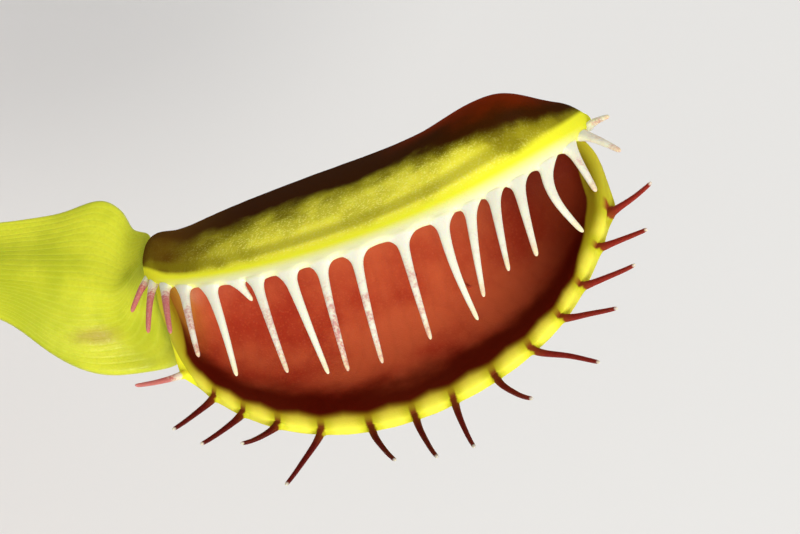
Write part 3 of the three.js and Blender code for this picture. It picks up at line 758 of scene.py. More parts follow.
# %% [markdown]
# ## The midrib
# The two lobes have different numbers of teeth, so their cages have different columns. A boolean could join
# them, but it would leave thin splinters. Instead a strip of triangles and quads steps forward along the
# midrib, always on the side that lies further back, and the trap stays one closed mesh.

# %% Join the lobes and make the traps
FINE_ROWS = (0.07, 0.18, 0.31, 0.45, 0.59, 0.72, 0.83, 0.91, 0.965, 1)  # from the midrib to the edge
PLAIN_ROWS = (0.09, 0.3, 0.55, 0.78, 0.92, 1)
SAME_PLACE = 0.012  # two columns this close to each other share a quad


def zip_rows(cage, row_a, places_a, row_b, places_b, flip):
    a = b = 0
    while a < len(row_a) - 1 or b < len(row_b) - 1:
        next_a = places_a[a + 1] if a < len(row_a) - 1 else math.inf
        next_b = places_b[b + 1] if b < len(row_b) - 1 else math.inf
        if abs(next_a - next_b) < SAME_PLACE:
            face = (row_a[a], row_b[b], row_b[b + 1], row_a[a + 1])
            a, b = a + 1, b + 1
        elif next_a < next_b:
            face = (row_a[a], row_b[b], row_a[a + 1])
            a += 1
        else:
            face = (row_a[a], row_b[b], row_b[b + 1])
            b += 1
        cage.face(*(face[::-1] if flip else face))


def trap_cage(leaf):
    cage = Cage("along", "span", "tooth", "beat", "face", "blush", "tooth_red_and_shade")
    rows = FINE_ROWS if leaf["fine"] else PLAIN_ROWS
    in_a, out_a, places_a = add_lobe(cage, leaf, 1, rows)
    in_b, out_b, places_b = add_lobe(cage, leaf, -1, rows)
    zip_rows(cage, in_a, places_a, in_b, places_b, False)
    zip_rows(cage, out_a, places_a, out_b, places_b, True)
    cage.face(in_a[0], out_a[0], out_b[0], in_b[0])
    cage.face(in_b[-1], out_b[-1], out_a[-1], in_a[-1])
    put_on_leaf(cage, leaf)
    return cage


print("rows of a lobe, closer together near its edge:", len(FINE_ROWS))

# %% [markdown]
# ## The skin of a trap
# The colours of a trap follow its form. A painted image would blur on so small a thing, so the mesh carries
# numbers for each point: how far along the trap and how far from the midrib it is, how far up a tooth, on
# which face, and whether it is in line with a tooth or with an arch. The finish reads them. Outside, the
# trap is mottled green and grainy with a brown back that is partly painted shade, and its green carries a
# painted lit patch and painted glints. Inside it is deep red, with painted shade towards the tip and a
# nearly black band of painted shade under the edge. The edge is yellow, and the teeth run from white,
# brightened as a painted highlight, to red.

# %% Colours of the trap, as linear values
OLIVE, LEAF_GREEN = (0.25, 0.21, 0.006), (0.60, 0.54, 0.022)
# painted light: the sunlit green paints a lit patch, and the glint green paints highlights on the grain
PAINTED_SUNLIT_GREEN, PAINTED_GLINT_GREEN = (0.96, 0.88, 0.065), (1.00, 0.96, 0.20)
BACK_BROWN_AND_SHADE, BACK_ORANGE, BACK_OLIVE = (0.043, 0.011, 0.001), (0.20, 0.018, 0.001), (0.105, 0.042, 0.004)
EDGE_YELLOW, EDGE_GREEN, BEAD_YELLOW = (0.94, 0.91, 0.035), (0.46, 0.45, 0.012), (0.95, 0.88, 0.08)
EDGE_ORANGE, EDGE_OLIVE = (0.36, 0.16, 0.008), (0.40, 0.35, 0.020)
# the dark throat red is used for the veins, and as painted shade towards the tip and under the edge
THROAT_RED, THROAT_GLOW, THROAT_DARK_AND_SHADE = (0.39, 0.034, 0.014), (0.60, 0.116, 0.042), (0.088, 0.005, 0.001)
THROAT_YOUNG = (0.42, 0.42, 0.03)
# the teeth's white is their pale colour, brightened further as a painted highlight
TOOTH_WHITE_AND_HIGHLIGHT, TOOTH_CREAM, TOOTH_PINK = (0.97, 0.94, 0.74), (0.92, 0.72, 0.38), (0.62, 0.19, 0.17)
TOOTH_MAROON, TOOTH_RED, TOOTH_ROOT = (0.10, 0.007, 0.006), (0.34, 0.032, 0.020), (0.30, 0.085, 0.008)
print("colours of the trap are ready")

# %% The outer face: brown along the midrib, partly painted shade, then grainy green with painted light and glints
GREEN_FROM, GREEN_FULL = 0.56, 0.76  # shares of the way from the midrib to the edge

trap_skin, tree, shader, spot = new_finish("trap skin")
along_trap, span, tooth, beat = (number(tree, name) for name in ("along", "span", "tooth", "beat"))
outside, tooth_red_and_shade, blush = (number(tree, name) for name in ("face", "tooth_red_and_shade", "blush"))

mottle = use(clouds, Place=spot, Scale=520.0, Detail=7.0, Low=0.36, High=0.64)
# fine grain that also sets the roughness, and where it is bright it paints glints as painted highlights
grain_and_painted_glints = use(clouds, Place=spot, Scale=8500.0, Detail=2.0, Low=0.5, High=0.68)
waver = use(clouds, Place=spot, Scale=330.0, Detail=5.0, Low=0.2, High=0.8)
from_rib = minus(plus(span, times(waver, 0.14)), times(soft_step(along_trap, 0.56, 0.83), 0.26))
# painted light: a bright lit patch in the middle of the lobe, towards its edge
painted_sunlight = times(
    soft_step(from_rib, 0.66, 0.82), soft_step(along_trap, 0.16, 0.42), soft_step(along_trap, 1.02, 0.66))
orange = times(soft_step(along_trap, 0.55, 0.74), soft_step(from_rib, 0.54, 0.30))
# the brown back is the lobe's own reddish tint, darkened further as painted shade along the midrib
back_tint_and_shade = times(soft_step(from_rib, GREEN_FULL, GREEN_FROM), plus(0.3, times(blush, 0.7)))
near_stalk = times(soft_step(along_trap, 0.34, 0.12), soft_step(from_rib, 1.06, 0.88), 0.92)
last_line = times(soft_step(span, 0.80, 0.855), soft_step(span, 0.905, 0.87), 0.55)
green = paint(
    OLIVE, (mottle, LEAF_GREEN), (times(painted_sunlight, plus(0.58, times(mottle, 0.4))), PAINTED_SUNLIT_GREEN),
    (times(grain_and_painted_glints, plus(0.3, times(painted_sunlight, 0.4))), PAINTED_GLINT_GREEN),
    (back_tint_and_shade, mix(orange, BACK_BROWN_AND_SHADE, BACK_ORANGE)), (near_stalk, BACK_OLIVE), (last_line, OLIVE))
print("the brown ends about", round((GREEN_FROM + GREEN_FULL) / 2, 2), "of the way to the edge")

# %% The inner face: deep red, with glands, and painted shade towards the tip and in a band under the edge
glow = use(clouds, Place=spot, Scale=210.0, Detail=5.0, Low=0.33, High=0.66)
throat_veins = use(veins, Across=along_trap, Along=span, Count=34.0, Width=0.25, Waver=0.12)
glands = use(specks, Place=spot, Scale=5200.0, Size=0.22, Softness=0.2)
# painted shade: a nearly black band on the inside, just under the edge
band = soft_step(plus(span, times(waver, 0.10)), 0.74, 0.92)
# painted shade: the inside darkens towards the trap's tip
throat = paint(
    THROAT_RED, (glow, THROAT_GLOW), (times(throat_veins, 0.05), THROAT_DARK_AND_SHADE),
    (times(glands, 0.25), THROAT_GLOW), (inverse(blush), THROAT_YOUNG),
    (times(soft_step(along_trap, 0.56, 0.86), 0.85), THROAT_DARK_AND_SHADE),
    (times(soft_step(along_trap, 0.16, 0.02), 0.5), THROAT_YOUNG), (times(band, blush, 0.95), THROAT_DARK_AND_SHADE))
print("nodes so far:", len(tree.nodes))

# %% The edge: yellow, white with a painted highlight where the pale teeth start, and beaded where the red ones do
dark_row = soft_step(tooth_red_and_shade, 0.6, 0.9)
at_tip = times(soft_step(along_trap, 0.78, 0.98), minus(0.3, times(outside, 0.24)))
at_stalk = times(soft_step(along_trap, 0.14, 0.0), minus(0.16, times(outside, 0.1)))
between_beads = times(dark_row, inverse(outside), inverse(times(beat, 0.4)), 0.05)
edge_at = minus(plus(span, plus(at_tip, at_stalk)), times(outside, 0.008), between_beads)
edge_mask = soft_step(edge_at, 0.885, 0.93)
bead_mask = times(soft_step(beat, 0.1, 0.75), soft_step(span, 0.9, 0.97))
far_ends = larger(soft_step(along_trap, 0.22, 0.04), soft_step(along_trap, 0.86, 0.96))
edge_colour = paint(
    EDGE_YELLOW, (times(dark_row, 0.6), EDGE_GREEN), (times(bead_mask, dark_row), BEAD_YELLOW),
    (times(dark_row, soft_step(edge_at, 0.96, 0.89), 0.7), EDGE_ORANGE),
    (times(dark_row, far_ends, 0.8), EDGE_OLIVE))
# the near edge's pale colour, brightened as a painted highlight
white_edge_and_highlight = times(
    inverse(dark_row), soft_step(span, 0.935, 1.0), soft_step(along_trap, 0.06, 0.3), 0.7,
    soft_step(along_trap, 0.97, 0.84), soft_step(tooth_red_and_shade, 0.36, 0.3))
skin = paint(throat, (outside, green), (edge_mask, edge_colour), (white_edge_and_highlight, TOOTH_WHITE_AND_HIGHLIGHT))
print("nodes so far:", len(tree.nodes))

# %% The teeth: white to pink on one lobe, dark red with painted highlights at the tips on the other; on trap 01 the pale near teeth are partly painted light and the dark far ones partly painted shade
blotches = use(clouds, Place=spot, Scale=1500.0, Detail=2.0, Low=0.35, High=0.62)
freckles = use(clouds, Place=spot, Scale=6500.0, Detail=3.0, Low=0.4, High=0.6)
blotches = larger(blotches, soft_step(tooth_red_and_shade, 0.3, 0.36))
pinkness = times(
    tooth_red_and_shade, 3.6, soft_step(tooth, 0.06, 0.5), plus(0.35, times(blotches, 0.65)),
    plus(0.6, times(freckles, 0.4)))
pale_tooth = paint(
    TOOTH_WHITE_AND_HIGHLIGHT, (times(soft_step(tooth, 0.8, 0.97), 0.6), TOOTH_CREAM),
    (soft_step(pinkness, 0.0, 1.0), TOOTH_PINK))
red_share = plus(soft_step(along_trap, 0.45, 0.9), times(freckles, 0.2))
# painted highlights: the dark teeth get pale tips
dark_tooth = paint(
    TOOTH_MAROON, (times(red_share, 0.85), TOOTH_RED), (times(soft_step(tooth, 0.26, 0.0), 0.5), TOOTH_ROOT),
    (times(soft_step(tooth, 0.94, 0.98), 0.7), TOOTH_WHITE_AND_HIGHLIGHT))
tooth_line = times(
    dark_row, soft_step(beat, 0.22, 0.1), soft_step(span, 0.95, 1.0), soft_step(along_trap, 0.13, 0.15))
late = plus(times(dark_row, 0.05), times(inverse(dark_row), soft_step(tooth_red_and_shade, 0.38, 0.41), 0.12))
tooth_start = larger(soft_step(minus(tooth, late), 0.0, 0.05), tooth_line)
feed(shader, Base_Color=mix(tooth_start, skin, mix(dark_row, pale_tooth, dark_tooth)))
print("nodes in the trap's finish:", len(tree.nodes))

# %% The trap's gloss and relief
fine_relief = use(grain, Place=spot, Coarse=2600.0, Fine=12000.0, Balance=0.55)
relief = minus(plus(fine_relief, times(glands, 0.12)), times(throat_veins, 0.1))
feed(
    shader, Roughness=minus(0.58, times(grain_and_painted_glints, 0.2)), Normal=bumps(relief, 0.3, 0.00012),
    Subsurface_Weight=0.2, Subsurface_Radius=(1.0, 0.45, 0.1), Subsurface_Scale=0.0008,
    Coat_Weight=minus(0.14, times(outside, 0.12)), Coat_Roughness=0.32, Specular_IOR_Level=0)
print("roughness between 0.38 and 0.58, and a moist coat inside")

# %% Make the ten traps
traps = {}
for leaf in leaves:
    name = leaf["name"]
    traps[name] = trap_cage(leaf).make(f"trap_{name}_fine", 2, trap_skin, "trap", [f"trap_{name}"])
print("traps:", len(traps), "cage faces of trap 01:", len(traps["01"].data.polygons))

# %% [markdown]
# ## Trigger hairs
# Each lobe has three short stiff hairs on its inner face. An insect that touches them twice shuts the trap.
# A hair system would scatter them, but here each has its own place, in a triangle in the middle of the
# lobe. So they are thin cones from a loop, and they lean towards the mouth.

# %% The hairs' finish
hair_skin, tree, shader, spot = new_finish("trigger hair")
streaks = use(clouds, Place=spot, Scale=4000.0, Low=0.35, High=0.65)
tips = soft_step(number(tree, "tooth"), 0.75, 1.0)
hair_colour = paint((0.36, 0.035, 0.015), (streaks, (0.50, 0.09, 0.04)), (tips, (0.62, 0.34, 0.2)))
feed(shader, Base_Color=hair_colour, Roughness=0.4)
print("nodes in the hairs' finish:", len(tree.nodes))

# %% Trigger hairs
HAIRS = ((0.357, 0.5), (0.544, 0.36), (0.62, 0.5))  # along the lobe, and from the midrib to the edge
HAIR_LENGTH, HAIR_HALF = 1.7, 0.09
HAIR_FOOT, HAIR_BEND = 0.3, 0.12  # mm above the lobe's middle, and the bend as a share of the length
SPIKE_RINGS = (-0.08, 0.0, 0.25, 0.55, 0.85)  # shares of a spike's length


def add_spike(cage, start, direction, side_way, long, half, bend, sides=6, **values):
    """A thin cone that bends sideways, closed at its root and ending in a point."""
    other = np.cross(direction, side_way)
    ring = None
    for share in SPIKE_RINGS:
        up = max(0, share)
        width = half * (1 - 0.75 * up)
        centre = start + direction * long * share + side_way * bend * long * share**2
        new = [
            cage.point(centre + width * (side_way * a + other * b), tooth=up, **values)
            for a, b in circle(sides)
        ]
        if ring:
            cage.tube(ring, new)
        else:
            cage.face(*new[::-1])
        ring = new
    tip = cage.point(start + direction * long + side_way * bend * long, tooth=1, **values)
    for k in range(sides):
        cage.face(ring[k], ring[(k + 1) % sides], tip)


for leaf in leaves:
    hairs = Cage("tooth")
    for side in (1, -1):
        for k, (s, t) in enumerate(HAIRS):
            length, inward = lobe_axes(leaf, side, s, t)
            foot = lobe_point(leaf, side, s, t) + HAIR_FOOT * inward
            direction = unit(inward + 0.25 * wobble(k, side) * length + np.array([0, 0, 0.35]))
            way = unit(np.cross(direction, length))
            add_spike(hairs, foot, direction, way, HAIR_LENGTH, HAIR_HALF, HAIR_BEND * side)
    put_on_leaf(hairs, leaf)
    hairs.make(f"trigger_hairs_{leaf['name']}", 1, hair_skin, "trap")
print("trigger hairs:", len(HAIRS) * 2 * len(leaves))

# %% [markdown]
# ## Leaf stalks
# The green part of a leaf is a flat, winged stalk that is broadest just before the trap and then narrows to
# a thin neck. It has a low rib underneath and a shallow groove on top. A curve with a bevel has the same
# section everywhere, so the section is swept in code instead: ring by ring, along a middle line that leaves
# the rootstock at a slant and reaches the trap from behind.

# %% Points on a curve
def curve_point(corners, t):
    weights = ((1 - t) ** 3, 3 * t * (1 - t) ** 2, 3 * t * t * (1 - t), t**3)
    return sum(w * p for w, p in zip(weights, corners))


def curve_direction(corners, t):
    weights = ((1 - t) ** 2, 2 * t * (1 - t), t * t)
    return unit(sum(w * (b - a) for w, a, b in zip(weights, corners, corners[1:])))


def smooth_along(table, place):
    """A curve through (place, value) pairs, with the slope at each pair taken from its neighbours."""
    xs, ys = np.array(table, float).T
    slopes = np.gradient(ys, xs)
    x = min(max(place, xs[0]), xs[-1])
    i = min(int(np.searchsorted(xs, x, "right")) - 1, len(xs) - 2)
    gap = xs[i + 1] - xs[i]
    q = (x - xs[i]) / gap
    return float(
        ys[i] * (1 + 2 * q) * (1 - q) ** 2 + ys[i + 1] * q * q * (3 - 2 * q)
        + gap * (slopes[i] * q * (1 - q) ** 2 - slopes[i + 1] * q * q * (1 - q)))


print("a plain stalk, two half widths from its neck:", round(smooth_along(STALK_SIDE, 2), 2))

# %% The stalk's middle line
SOIL_TOP = 70
FOOT_HEIGHT = 1.6
NECK_GAP = 0.55


def stalk_line(leaf):
    """Four points of the curve, and a table from length to the curve's own parameter."""
    azimuth, lift = math.radians(leaf["azimuth"]), math.radians(leaf["lift"])
    out, up = np.array([math.cos(azimuth), math.sin(azimuth), 0]), np.array([0, 0, 1.0])
    foot = out * leaf["foot"] + up * (SOIL_TOP + FOOT_HEIGHT)
    size = leaf["size"]
    neck = np.array([-NECK_GAP - 0.6 * (1 - size), 0, -0.35 * size]) @ leaf["axes"] + leaf["origin"]
    span = np.linalg.norm(neck - foot)
    rise = foot + 0.36 * span * (out * math.cos(lift) + up * math.sin(lift))
    heading = math.radians(leaf.get("approach", leaf["azimuth"] + leaf["turn"] * 0.5))
    end = unit(np.array([math.cos(heading), math.sin(heading), math.sin(math.radians(leaf["climb"])) * 0.7]))
    corners = np.array([foot, rise, neck - 0.34 * span * end, neck])
    shares = np.linspace(0, 1, 201)
    steps = np.linalg.norm(np.diff([curve_point(corners, t) for t in shares], axis=0), axis=1)
    return corners, shares, np.concatenate([[0], np.cumsum(steps)])


def line_axes(corners, t):
    """Directions on the middle line: forward, left and up."""
    forward = curve_direction(corners, t)
    left = unit(np.cross([0, 0, 1], forward))
    return forward, left, np.cross(forward, left)


for leaf in leaves:
    leaf["line"] = stalk_line(leaf)
print("stalk 01 is", round(leaves[0]["line"][2][-1], 1), "mm long")

# %% A stalk's rings
STATIONS = (
    -0.26, -0.12, 0, 0.06, 0.13, 0.2, 0.28, 0.38, 0.5, 0.62, 0.76, 0.9, 1.08, 1.3, 1.6, 2, 2.5, 3.2, 4, 5, 6,
    7, 8, 9, 10)  # from the neck, in half widths
FOOT_STATIONS = (0.22, 0.16, 0.1, 0.05, 0)  # from the foot, as shares of the length
ACROSS = (-1, -0.93, -0.78, -0.55, -0.3, -0.1, 0, 0.1, 0.3, 0.55, 0.78, 0.93, 1)
TOP_DEPTH, LOW_DEPTH = 0.75, -1.15  # the stalk is thicker below its middle line than above
EDGE_THICK, RIB_THICK = (0.3, 0.5), (0.95, 0.62)  # mm, each on the wings and at the thin neck


def widest_half(leaf):
    return leaf["half_width"] * leaf["size"] ** 0.7


def add_stalk_ring(cage, leaf, u, from_neck):
    """The top and the low row of points across a stalk, at the share u of its length."""
    corners, shares, lengths = leaf["line"]
    t = float(np.interp(u * lengths[-1], lengths, shares))
    forward, left, up = line_axes(corners, t)
    widest = widest_half(leaf)
    neck_share, foot_share = clamp(1 - from_neck / 0.5), clamp(1 - u / 0.1)
    bend = ramp(0, 0.4, from_neck) * (1 - ramp(2, 9, from_neck))
    centre = curve_point(corners, t) + (left * leaf["offset"][0] + up * leaf["offset"][1]) * bend
    centre = centre + forward * max(0, -from_neck) * widest
    edge = lerp(*EDGE_THICK, max(neck_share, foot_share))
    rib = lerp(*RIB_THICK, neck_share)
    rows = []
    for depth in (TOP_DEPTH, LOW_DEPTH):
        row = []
        for share in ACROSS:
            wing = 0 if share > 0 else 1
            half = widest * smooth_along(leaf["stalk_sides"][wing], max(0, from_neck))
            size = abs(share)
            wave = 0.3 * math.sin(from_neck * 2.2 + share * 2 + leaf["azimuth"])
            frill = 0.16 * math.sin(from_neck * 7.1 + 3 * share + leaf["azimuth"]) * size**3
            lift = (leaf["cup"][wing] * half + wave + frill) * size * (1 - neck_share)
            front = wing * size * clamp(1.4 - from_neck) * (1 - neck_share**4)
            thick = edge + (rib - edge) * hill(size, 0, 0.3)
            groove = 0.3 * hill(size, 0, 0.12) * (1 - neck_share) if depth > 0 else 0
            rise = lift - leaf["droop"] * front + depth * thick - groove
            place = centre + left * share * (half + 0.12) + up * rise
            place = place + forward * leaf["sweep"] * front * size**3
            row.append(cage.point(
                place, across=share, along=max(0, from_neck) * widest, root=1 - min(1, u / 0.22)))
        rows.append(row)
    return rows


def stalk_cage(leaf):
    cage = Cage("across", "along", "root")
    length, widest = leaf["line"][2][-1], widest_half(leaf)
    stations = [(1 - d * widest / length, d) for d in STATIONS]
    stations = [(min(1, u), d) for u, d in stations if u > 0.26]
    stations += [(u, (1 - u) * length / widest) for u in FOOT_STATIONS]
    rings = [add_stalk_ring(cage, leaf, u, d) for u, d in sorted(stations, key=lambda pair: -pair[1])]
    last = len(ACROSS) - 1
    for (top_a, low_a), (top_b, low_b) in zip(rings, rings[1:]):
        for k in range(last):
            cage.face(top_a[k], top_b[k], top_b[k + 1], top_a[k + 1])
            cage.face(low_a[k], low_a[k + 1], low_b[k + 1], low_b[k])
        cage.face(top_a[0], low_a[0], low_b[0], top_b[0])
        cage.face(top_a[last], top_b[last], low_b[last], low_a[last])
    for (top, low), turn in ((rings[0], 1), (rings[-1], -1)):
        for k in range(last):
            cage.face(*(top[k], top[k + 1], low[k + 1], low[k])[::turn])
    return cage


print("a stalk's ring has", 2 * len(ACROSS), "points")

# %% [markdown]
# ## The skin of a leaf stalk
# A stalk is a fresh yellow-green, a little lighter along its fine veins and paler at its foot. The veins
# could be modelled, but they hardly rise from the surface, so a mask and a shallow bump are enough. Stalk
# 01 has one faint brown patch, and the finish paints it by distance from one point.

# %% The stalk's finish
STALK_GREEN, STALK_YELLOW, STALK_PALE = (0.45, 0.49, 0.010), (0.66, 0.67, 0.026), (0.48, 0.52, 0.20)
PATCH_AT, PATCH_REACH, PATCH_SHAPE = (0.0720, -0.0118, 0.0979), 0.0020, (1, 2.4, 1)  # in metres

stalk_skin, tree, shader, spot = new_finish("leaf stalk skin")
across, stalk_way, root = (number(tree, name) for name in ("across", "along", "root"))
patches = use(clouds, Place=spot, Scale=240.0, Detail=5.0, Low=0.35, High=0.62)
stalk_veins = use(veins, Across=across, Along=times(stalk_way, 0.05), Count=13.0, Width=0.3, Waver=0.1)
grain_mask = use(clouds, Place=spot, Scale=5200.0, Detail=3.0, Low=0.4, High=0.7)
offset = add(tree, "ShaderNodeVectorMath", {0: spot, 1: PATCH_AT}, operation="SUBTRACT").outputs[0]
offset = add(tree, "ShaderNodeVectorMath", {0: offset, 1: PATCH_SHAPE}, operation="MULTIPLY").outputs[0]
distance = add(tree, "ShaderNodeVectorMath", {0: offset}, operation="LENGTH").outputs["Value"]
patch_edge = plus(distance, times(minus(patches, 0.5), 0.0008))
patch = times(soft_step(patch_edge, PATCH_REACH, PATCH_REACH * 0.3), 0.55)
stalk_colour = paint(
    STALK_GREEN, (patches, STALK_YELLOW), (times(stalk_veins, 0.22), (0.66, 0.72, 0.06)),
    (times(grain_mask, 0.22), STALK_GREEN), (patch, (0.30, 0.15, 0.02)), (times(root, 0.85), STALK_PALE))
relief = minus(use(grain, Place=spot, Coarse=1400.0, Fine=8000.0, Balance=0.5), times(stalk_veins, 0.3))
feed(
    shader, Base_Color=stalk_colour, Roughness=plus(0.36, times(grain_mask, 0.2)),
    Normal=bumps(relief, 0.35, 0.00012), Subsurface_Weight=0.2, Subsurface_Radius=(0.6, 0.9, 0.1),
    Subsurface_Scale=0.0008, Specular_IOR_Level=0.3, Coat_Weight=0.05, Coat_Roughness=0.35)
print("nodes in the stalk's finish:", len(tree.nodes))

# %% Make the ten stalks
for leaf in leaves:
    name = leaf["name"]
    stalk_cage(leaf).make(f"leaf_stalk_{name}_fine", 2, stalk_skin, "leaf_stalk", [f"leaf_stalk_{name}"])
print("leaf stalks:", len(leaves))

# %% [markdown]
# ## Rootstock
# Only the top of the rootstock shows. It is a low dome of fleshy leaf bases that lie over each other like
# the scales of a bulb, white below and pale green above. One sculpted lump could stand for it, but the
# bases have to meet the ten stalks. So a dome is turned about the pot's axis, and each leaf gets a broad
# base that wraps its stalk's foot.

# %% The rootstock's finish
SOIL_LINE = (0.0725, 0.0705)  # metres: clean above the first, soiled below the second

root_skin, tree, shader, spot = new_finish("rootstock skin")
patches = use(clouds, Place=spot, Scale=420.0, Detail=5.0, Low=0.35, High=0.65)
dry = use(clouds, Place=spot, Scale=900.0, Detail=6.0, Low=0.56, High=0.7)
soiled = soft_step(plus(height_of(spot), times(dry, 0.0006)), *SOIL_LINE)
root_colour = paint(
    (0.52, 0.53, 0.24), (patches, (0.66, 0.66, 0.40)),
    (soft_step(number(tree, "along"), 0.35, 1.0), (0.46, 0.54, 0.07)),
    (times(dry, 0.55), (0.17, 0.085, 0.03)), (times(soiled, 0.8), (0.07, 0.04, 0.022)))
relief = use(grain, Place=spot, Coarse=1200.0, Fine=6000.0, Balance=0.4)
feed(
    shader, Base_Color=root_colour, Roughness=plus(0.42, times(dry, 0.35)),
    Normal=bumps(relief, 0.5, 0.00015), Subsurface_Weight=0.2, Subsurface_Radius=(0.9, 0.8, 0.3),
    Subsurface_Scale=0.001)
print("nodes in the rootstock's finish:", len(tree.nodes))

# %% The dome
DOME_PROFILE = [
    (0, 54), (2, 54.3), (3.5, 56), (5.4, 59), (7, 62), (8.8, 65.5), (10.4, 69), (10.4, 71), (9.2, 72.8),
    (7, 74), (4, 74.8), (1.8, 75), (0, 75)]


def add_turned(cage, profile, sides, wave=lambda angle, radius, height: (0, 0)):
    """A closed body turned about Z from (radius, height) pairs that start and end on the axis."""
    rings = []
    for radius, height in profile[1:-1]:
        ring = []
        for k in range(sides):
            angle = 2 * math.pi * k / sides
            more, lift = wave(angle, radius, height)
            r = radius + more
            ring.append(cage.point((r * math.cos(angle), r * math.sin(angle), height + lift)))
        rings.append(ring)
    first, last = cage.point((0, 0, profile[0][1])), cage.point((0, 0, profile[-1][1]))
    for k in range(sides):
        n = (k + 1) % sides
        cage.face(first, rings[0][n], rings[0][k])
        cage.face(last, rings[-1][k], rings[-1][n])
        for low, high in zip(rings, rings[1:]):
            cage.face(low[k], low[n], high[n], high[k])


def scaly(angle, radius, height):
    """Eight low waves around the dome, in its upper half only."""
    return 0.5 * math.sin(8 * angle + 0.7 * height) * ramp(60, 68, height) * min(1, radius / 6), 0


dome = Cage()
add_turned(dome, DOME_PROFILE, 32, scaly)
dome.make("rootstock_dome", 2, root_skin, "rootstock", ["rootstock"])
print("the dome rises", DOME_PROFILE[-1][1] - SOIL_TOP, "mm over the peat")

# %% The fleshy base of each leaf
BASE_RINGS = (-0.35, -0.3, -0.1, 0.1, 0.32, 0.55, 0.78, 0.94, 1)  # shares of its reach along the stalk
BASE_SIDES = 14
INNER_FOOT = 5  # mm; the two youngest leaves stand closer to the middle, and their bases are smaller


def base_cage(leaf):
    cage = Cage("along")
    corners, shares, lengths = leaf["line"]
    young = leaf["foot"] < INNER_FOOT
    reach = 6 if young else 7.5
    rings = []
    for k, share in enumerate(BASE_RINGS):
        t = float(np.interp(max(0, share) * reach, lengths, shares))
        forward, left, up = line_axes(corners, t)
        centre = curve_point(corners, t) + forward * min(0, share) * reach
        full = (1 - ramp(0.1, 1, share)) * (0.55 if k == 0 else 1)
        wide, deep = lerp(2.2, 4.6, full) * (0.8 if young else 1), lerp(0.9, 2.1, full)
        ring = []
        for a, b in circle(BASE_SIDES):
            rise = deep * b + (-0.32 * wide * a * a) + 0.3
            ring.append(cage.point(centre + left * wide * a + up * rise, along=max(0, share)))
        rings.append(ring)
    for low, high in zip(rings, rings[1:]):
        cage.tube(low, high)
    cage.face(*rings[0][::-1])
    cage.face(*rings[-1])
    return cage


for leaf in leaves:
    base_cage(leaf).make(f"leaf_base_{leaf['name']}", 2, root_skin, "rootstock", ["rootstock"])
print("leaf bases:", len(leaves))

# %% [markdown]
# ## Peat
# The pot is filled with damp peat, mixed with a little pale grit, and its top is a low, lumpy mound.
# Displacement in the material would only look right from afar, so the mound is a turned form with a bumpy
# top. Loose crumbs, grains of grit and small tufts of moss lie on it. Each kind is one mesh, because
# separate objects would be thousands.

# %% The peat's finish
peat_look, tree, shader, spot = new_finish("damp peat")
clumps = use(clouds, Place=spot, Scale=330.0, Detail=8.0, Low=0.36, High=0.66)
stretched = add(tree, "ShaderNodeMapping", {"Vector": spot, "Scale": (1, 0.16, 1), "Rotation": (0, 0, 0.7)})
fibres = use(clouds, Place=stretched.outputs[0], Scale=2600.0, Detail=3.0, Low=0.62, High=0.72)
peat_colour = paint(
    (0.020, 0.011, 0.006), (clumps, (0.085, 0.048, 0.026)), (times(fibres, 0.7), (0.20, 0.12, 0.06)),
    (times(number(tree, "shade"), 0.5), (0.11, 0.06, 0.032)))
relief = plus(use(grain, Place=spot, Coarse=900.0, Fine=4500.0, Balance=0.4), times(fibres, 0.25))
feed(
    shader, Base_Color=peat_colour, Roughness=minus(0.95, times(clumps, 0.3)),
    Normal=bumps(relief, 0.9, 0.0006))
print("nodes in the peat's finish:", len(tree.nodes))

# %% Finishes of grit and moss
grit_look, tree, shader, spot = new_finish("pale grit")
pits = use(clouds, Place=spot, Scale=2400.0, Detail=4.0, Low=0.4, High=0.6)
shade = times(number(tree, "shade"), 0.35)
grit_colour = paint((0.42, 0.39, 0.33), (pits, (0.74, 0.72, 0.67)), (shade, (0.40, 0.33, 0.24)))
relief = use(grain, Place=spot, Coarse=2000.0, Fine=7000.0)
feed(shader, Base_Color=grit_colour, Normal=bumps(relief, 0.7, 0.0002), Roughness=0.85)

moss_look, tree, shader, spot = new_finish("moss")
lighter = use(clouds, Place=spot, Scale=700.0, Low=0.35, High=0.65)
tips = times(soft_step(number(tree, "tooth"), 0.3, 1.0), 0.7)
moss_colour = paint((0.050, 0.10, 0.008), (lighter, (0.14, 0.22, 0.016)), (tips, (0.32, 0.42, 0.05)))
feed(shader, Base_Color=moss_colour, Roughness=0.6, Subsurface_Weight=0.15, Subsurface_Scale=0.0004)
print("finishes:", grit_look.name, moss_look.name)

# %% The mound
TOP_RADIUS = 40.05
MOUND_RINGS, MOUND_SIDES = 52, 160


def soil_height(x, y):
    """A low mound with broad lumps, flat at the pot's wall."""
    r = math.hypot(x, y)
    lumps = math.sin(x * 0.55 + 1.3) * math.cos(y * 0.48) + 0.6 * math.sin(x * 0.23 - y * 0.7)
    return SOIL_TOP + 0.5 * hill(r, 0, 22) + 0.9 * lumps * min(1, (40 - r) / 8)


def peat_top(x, y):
    """The mound with small clods on it."""
    r = math.hypot(x, y)
    clods = noise.fractal(Vector((x * 0.35, y * 0.35, 0)), 0.6, 2.2, 4)
    return soil_height(x, y) + 0.75 * clods * min(1, (41 - r) / 4)


def clods_at(angle, radius, height):
    if height < SOIL_TOP:
        return 0, 0
    x, y = radius * math.cos(angle), radius * math.sin(angle)
    return 0, peat_top(x, y) - height


